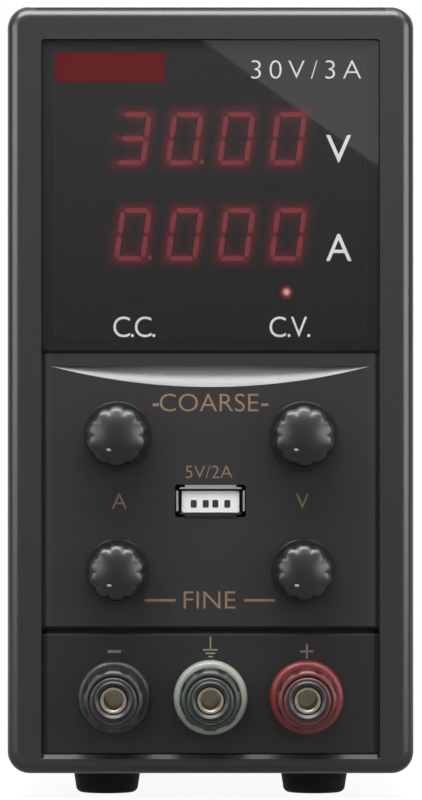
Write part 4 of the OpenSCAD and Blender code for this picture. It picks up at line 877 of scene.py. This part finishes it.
# Rear fittings: a 60 mm fan behind its guard, a three-blade mains inlet with a fuse drawer, a rocker switch
# and a mains voltage selector, all black glass-filled nylon snapped or screwed into the rear panel.
ROCKER_TILT = math.radians(9)
DISH_RADIUS = 22.0
DISH_MIDDLE = 23.8
fan_plastic = grained("fan_plastic", (34, 34, 36), 0.44, grain=4000.0, height=0.005)
fitting_plastic = grained("fitting_plastic", (36, 36, 38), 0.36, grain=3600.0, height=0.005, mottle=0.15)
slider_red = grained("slider_red", (160, 36, 36), 0.38, grain=3600.0, height=0.004)
dress(fan_plastic, "fan_frame", "fan_rotor")
dress(fitting_plastic, "inlet_housing", "fuse_drawer", "switch_housing", "switch_rocker", "selector_housing")
dress(slider_red, "selector_slider")
dress(nickel, "inlet_pins")
fuse_ends = np.array([middle("glass_fuse")] * 2)
fuse_ends[:, 0] = [corner[0] for corner in span("glass_fuse")]
fuse_glass, tree, shader = plain_material("fuse_glass", IOR=1.5, Transmission_Weight=1.0)
lay_grain(tree, shader, (0.93, 0.96, 0.95, 1), 0.03, grain=400.0, mottle=0.03, spread=0.02)
tube = turned_shell("fuse_tube", [(3.0, 0), (3.0, 2.05), (12.8, 2.05), (12.8, 0)], *fuse_ends, fuse_glass,
                    "fuse_carrier", "fuse_glass")
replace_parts(tube, "glass_fuse")
for name, low, high in (("fuse_cap_left", 0.0, 4.2), ("fuse_cap_right", 11.6, 15.8)):
    turned_shell(name, [(low, 0), (low, 1.9), (low + 0.3, 2.25), (high - 0.3, 2.25), (high, 2.1), (high, 0)],
                 *fuse_ends, nickel, "fuse_carrier", "nickel")
turned_shell("fuse_wire", [(3.5, 0), (3.5, 0.12), (12.3, 0.12), (12.3, 0)], *fuse_ends, screw_steel,
             "fuse_carrier", "nickel", around=8)
rocker_x, _, rocker_z = middle("switch_housing")
rocker_axis_y = span("switch_housing")[1][1] - 1.5


def rocker_mark(name, inner, outer):
    """A printed mark between two outlines across and up, laid on the rocker's dished face and turned with
    it. The face's depth is the dish's middle less the root of its radius squared less across squared."""
    across, up = np.concatenate([inner, outer]).T
    dish = DISH_MIDDLE - np.sqrt(DISH_RADIUS ** 2 - across ** 2)
    c, s = math.cos(ROCKER_TILT), math.sin(ROCKER_TILT)
    points = [np.stack([rocker_x + across * c - y * s, rocker_axis_y + across * s + y * c, rocker_z + up], 1)
              for y in (dish + INK_THICK, dish - 0.01)]
    n = len(inner)
    k = np.arange(n)
    j = (k + 1) % n
    top = np.stack([j, n + j, n + k, k], 1)
    hole = np.stack([k + 2 * n, j + 2 * n, j, k], 1)
    rim = np.stack([3 * n + j, 3 * n + k, n + k, n + j], 1)
    add_piece(name, np.concatenate(points), [*top, *(top[:, ::-1] + 2 * n), *hole, *rim], white_ink,
              "power_rocker", "fitting_plastic")


ring = circle(24)
rocker_mark("mark_off", ring + (-4.3, 0), ring * 1.35 + (-4.3, 0))
bar = np.array([(-1, -1), (1, -1), (1, 1), (-1, 1)])
rocker_mark("mark_on", bar * (0.05, 1.2) + (4.3, 0), bar * (0.25, 1.4) + (4.3, 0))


# Studio: a pale floor and a white surround behind the object, a softbox above the front, a strip on each
# side and a fill lamp behind, and four cards that only reflections see: one over the front, one on each
# side, and one beside the camera, whose edge runs across the window.
CAMERA_FAR = 1250.0
CAMERA_ASIDE = 0.1
CAMERA_BELOW_TOP = 82.1
FRAME_TALL = 166.64
SENSOR = 36.0
PLAIN_LEVEL = 0.16
FRONT_AIM = (0.0, -0.09, 0.1)
camera_z = span("front_bezel")[1][2] - CAMERA_BELOW_TOP


def emission(tree, strength):
    """White light of a strength."""
    return put(tree, "ShaderNodeEmission", {"Color": (1, 1, 1, 1), "Strength": strength}).outputs[0]


def floor_sheet():
    """A flat square of floor, 12 m across. The camera and reflections see it nearly white, with a soft
    shadow near the object. To reflections it is dim before the object, and dimmer close to it as a painted
    shade of the object's shadow, and to other light it is grey."""
    mesh = bpy.data.meshes.new("floor")
    mesh.from_pydata([(-6, -6, 0), (6, -6, 0), (6, 6, 0), (-6, 6, 0)], [], [(0, 1, 2, 3)])
    floor = bpy.data.objects.new("floor", mesh)
    bpy.context.scene.collection.objects.link(floor)
    material, tree, shader = plain_material("floor_paper", Base_Color=(0.3, 0.3, 0.3, 1), Roughness=0.9,
                                            Specular_IOR_Level=0.1)
    path = put(tree, "ShaderNodeLightPath")
    seen = sums(tree, "MAXIMUM", path.outputs["Is Camera Ray"],
                sums(tree, "MAXIMUM", path.outputs["Is Glossy Ray"], path.outputs["Is Transmission Ray"]))
    place = put(tree, "ShaderNodeTexCoord").outputs["Object"]
    far = put(tree, "ShaderNodeVectorMath", {0: place}, operation="LENGTH").outputs["Value"]
    depth = put(tree, "ShaderNodeSeparateXYZ", {0: place}).outputs["Y"]
    # Reflections see the floor dimmer before the object, and dimmer still close to it as painted shade.
    mirrored = sums(tree, "MULTIPLY", ramp(tree, depth, -0.28, 0.0, 0.3, 1.0),
                    ramp(tree, far, 0.12, 0.5, 0.45, 1.0))
    level = sums(tree, "MAXIMUM", path.outputs["Is Camera Ray"], mirrored)
    dim = put(tree, "ShaderNodeBsdfDiffuse", {"Color": (0.16, 0.16, 0.16, 1)}).outputs[0]
    lift = emission(tree, sums(tree, "MULTIPLY", level, 0.93))
    lifted = put(tree, "ShaderNodeAddShader", {0: dim, 1: lift})
    near = put(tree, "ShaderNodeMixShader", {0: ramp(tree, far, 0.13, 0.45), 1: lifted.outputs[0],
                                             2: emission(tree, level)})
    both = put(tree, "ShaderNodeMixShader", {0: seen, 1: shader.outputs[0], 2: near.outputs[0]})
    tree.links.new(both.outputs[0], tree.nodes["Material Output"].inputs["Surface"])
    mesh.materials.append(material)


def soft_lamp(name, place, aim, wide, high, watts):
    """A rectangular softbox that faces a point."""
    data = bpy.data.lights.new(name, "AREA")
    data.shape = "RECTANGLE"
    data.size = wide
    data.size_y = high
    data.energy = watts
    lamp = bpy.data.objects.new(name, data)
    lamp.location = place
    direction = np.array(aim, float) - np.array(place, float)
    flat = math.hypot(direction[0], direction[1])
    lamp.rotation_euler = (math.atan2(flat, -direction[2]), 0, math.atan2(-direction[0], direction[1]))
    lamp.visible_camera = False
    bpy.context.scene.collection.objects.link(lamp)


def reflection_card(name, corners, strength):
    """A flat bright card that only reflections see, with its corners in metres and its strength from a
    function of its node tree."""
    mesh = bpy.data.meshes.new(name)
    mesh.from_pydata(np.asarray(corners, float).tolist(), [], [tuple(range(len(corners)))])
    material, tree, shader = plain_material(name + "_light")
    tree.links.new(emission(tree, strength(tree)), tree.nodes["Material Output"].inputs["Surface"])
    mesh.materials.append(material)
    card = bpy.data.objects.new(name, mesh)
    card.visible_camera = card.visible_diffuse = card.visible_shadow = card.visible_transmission = False
    bpy.context.scene.collection.objects.link(card)


def metres_up(tree):
    """Height above the floor in metres."""
    return sums(tree, "MULTIPLY", axis_of(tree, "Z"), MM)


def window_card():
    """A card beside the camera. Its lower edge, as the window mirrors it, runs from the window's middle top
    down to its right side. As the card stands as far away as the camera, a point P of the window mirrors the
    card's point C + (P - C) * 2, where C is the point of the window straight before the camera."""
    seen = np.array([(-2.3, 191.0), (60.0, 191.0), (60.0, 114.0), (34.6, 132.2), (-2.3, 158.6)])
    corners = np.stack([seen[:, 0] * 2, np.full(5, window_face - CAMERA_FAR),
                        camera_z + (seen[:, 1] - camera_z) * 2], 1) * MM
    reflection_card("window_card", corners, lambda tree: 1.1)


def top_card():
    """A leaning card over the front, from 14 degrees up to a little past straight overhead. Its light rises
    in two steps to its middle, and falls to two fifths towards its upper edge."""
    def strength(tree):
        up = metres_up(tree)
        rise = sums(tree, "ADD", ramp(tree, up, 0.3, 0.5, 0.0, 0.8), ramp(tree, up, 0.5, 0.62, 0.0, 4.4))
        return sums(tree, "MULTIPLY", rise, ramp(tree, up, 0.7, 0.85, 1.0, 0.4))
    wide, low, high = 0.55, (-0.9, 0.28), (0.1, 1.0)
    reflection_card("top_card", [(-wide, *low), (wide, *low), (wide, *high), (-wide, *high)], strength)


def side_card(name, side, low, high, dim, bright):
    """A card beside the front, from 26 to 73 degrees aside, whose light rises from dim to bright."""
    near, far = (side * 0.41, -0.92), (side * 0.9, -0.37)
    reflection_card(name, [(*near, -0.15), (*far, -0.15), (*far, 0.4), (*near, 0.4)],
                    lambda tree: ramp(tree, metres_up(tree), low, high, dim, bright))


floor_sheet()
window_card()
top_card()
side_card("left_card", -1, -0.12, 0.2, 0.5, 5.0)
side_card("right_card", 1, -0.3, 0.25, 3.2, 5.8)
soft_lamp("key_softbox", (-0.05, -0.3, 0.48), FRONT_AIM, 0.46, 0.26, 2.85)
soft_lamp("left_strip", (-0.8, -0.98, 0.6), FRONT_AIM, 0.6, 0.6, 2.3)
soft_lamp("right_strip", (0.8, -0.98, 0.55), FRONT_AIM, 0.6, 0.6, 2.6)
soft_lamp("rear_fill", (0.3, 1.3, 0.9), (0.0, 0.1, 0.08), 0.9, 0.6, 8.0)

# The surround lights the object at a low level. Reflections see it dark in front, darkest low down, and
# white behind, and the camera sees it white.
world = bpy.data.worlds.new("studio")
bpy.context.scene.world = world
world.use_nodes = True
tree = world.node_tree
tree.nodes.clear()
path = put(tree, "ShaderNodeLightPath")
direction = put(tree, "ShaderNodeTexCoord").outputs["Generated"]
toward = put(tree, "ShaderNodeSeparateXYZ", {0: direction}).outputs
before = ramp(tree, toward["Z"], 0.0, 0.07, 0.05, 0.3)
behind = ramp(tree, toward["Y"], 0.2, 0.8, before, 1.0)
shiny = sums(tree, "MAXIMUM", path.outputs["Is Glossy Ray"], path.outputs["Is Transmission Ray"])
strength = sums(tree, "ADD", sums(tree, "MULTIPLY", sums(tree, "SUBTRACT", 1.0, shiny), PLAIN_LEVEL),
                sums(tree, "MULTIPLY", shiny, behind))
strength = sums(tree, "MAXIMUM", strength, path.outputs["Is Camera Ray"])
sky = put(tree, "ShaderNodeBackground", {"Color": (1, 1, 1, 1), "Strength": strength})
put(tree, "ShaderNodeOutputWorld", {"Surface": sky.outputs[0]})

camera = bpy.data.objects.new("camera", bpy.data.cameras.new("camera"))
camera.location = (CAMERA_ASIDE * MM, (bezel_face - CAMERA_FAR) * MM, camera_z * MM)
camera.rotation_euler = (math.pi / 2, 0, 0)
camera.data.sensor_width = SENSOR
camera.data.lens = SENSOR * CAMERA_FAR / FRAME_TALL
camera.data.clip_end = 50.0
bpy.context.scene.collection.objects.link(camera)
bpy.context.scene.camera = camera
bpy.context.scene.view_settings.view_transform = "Standard"
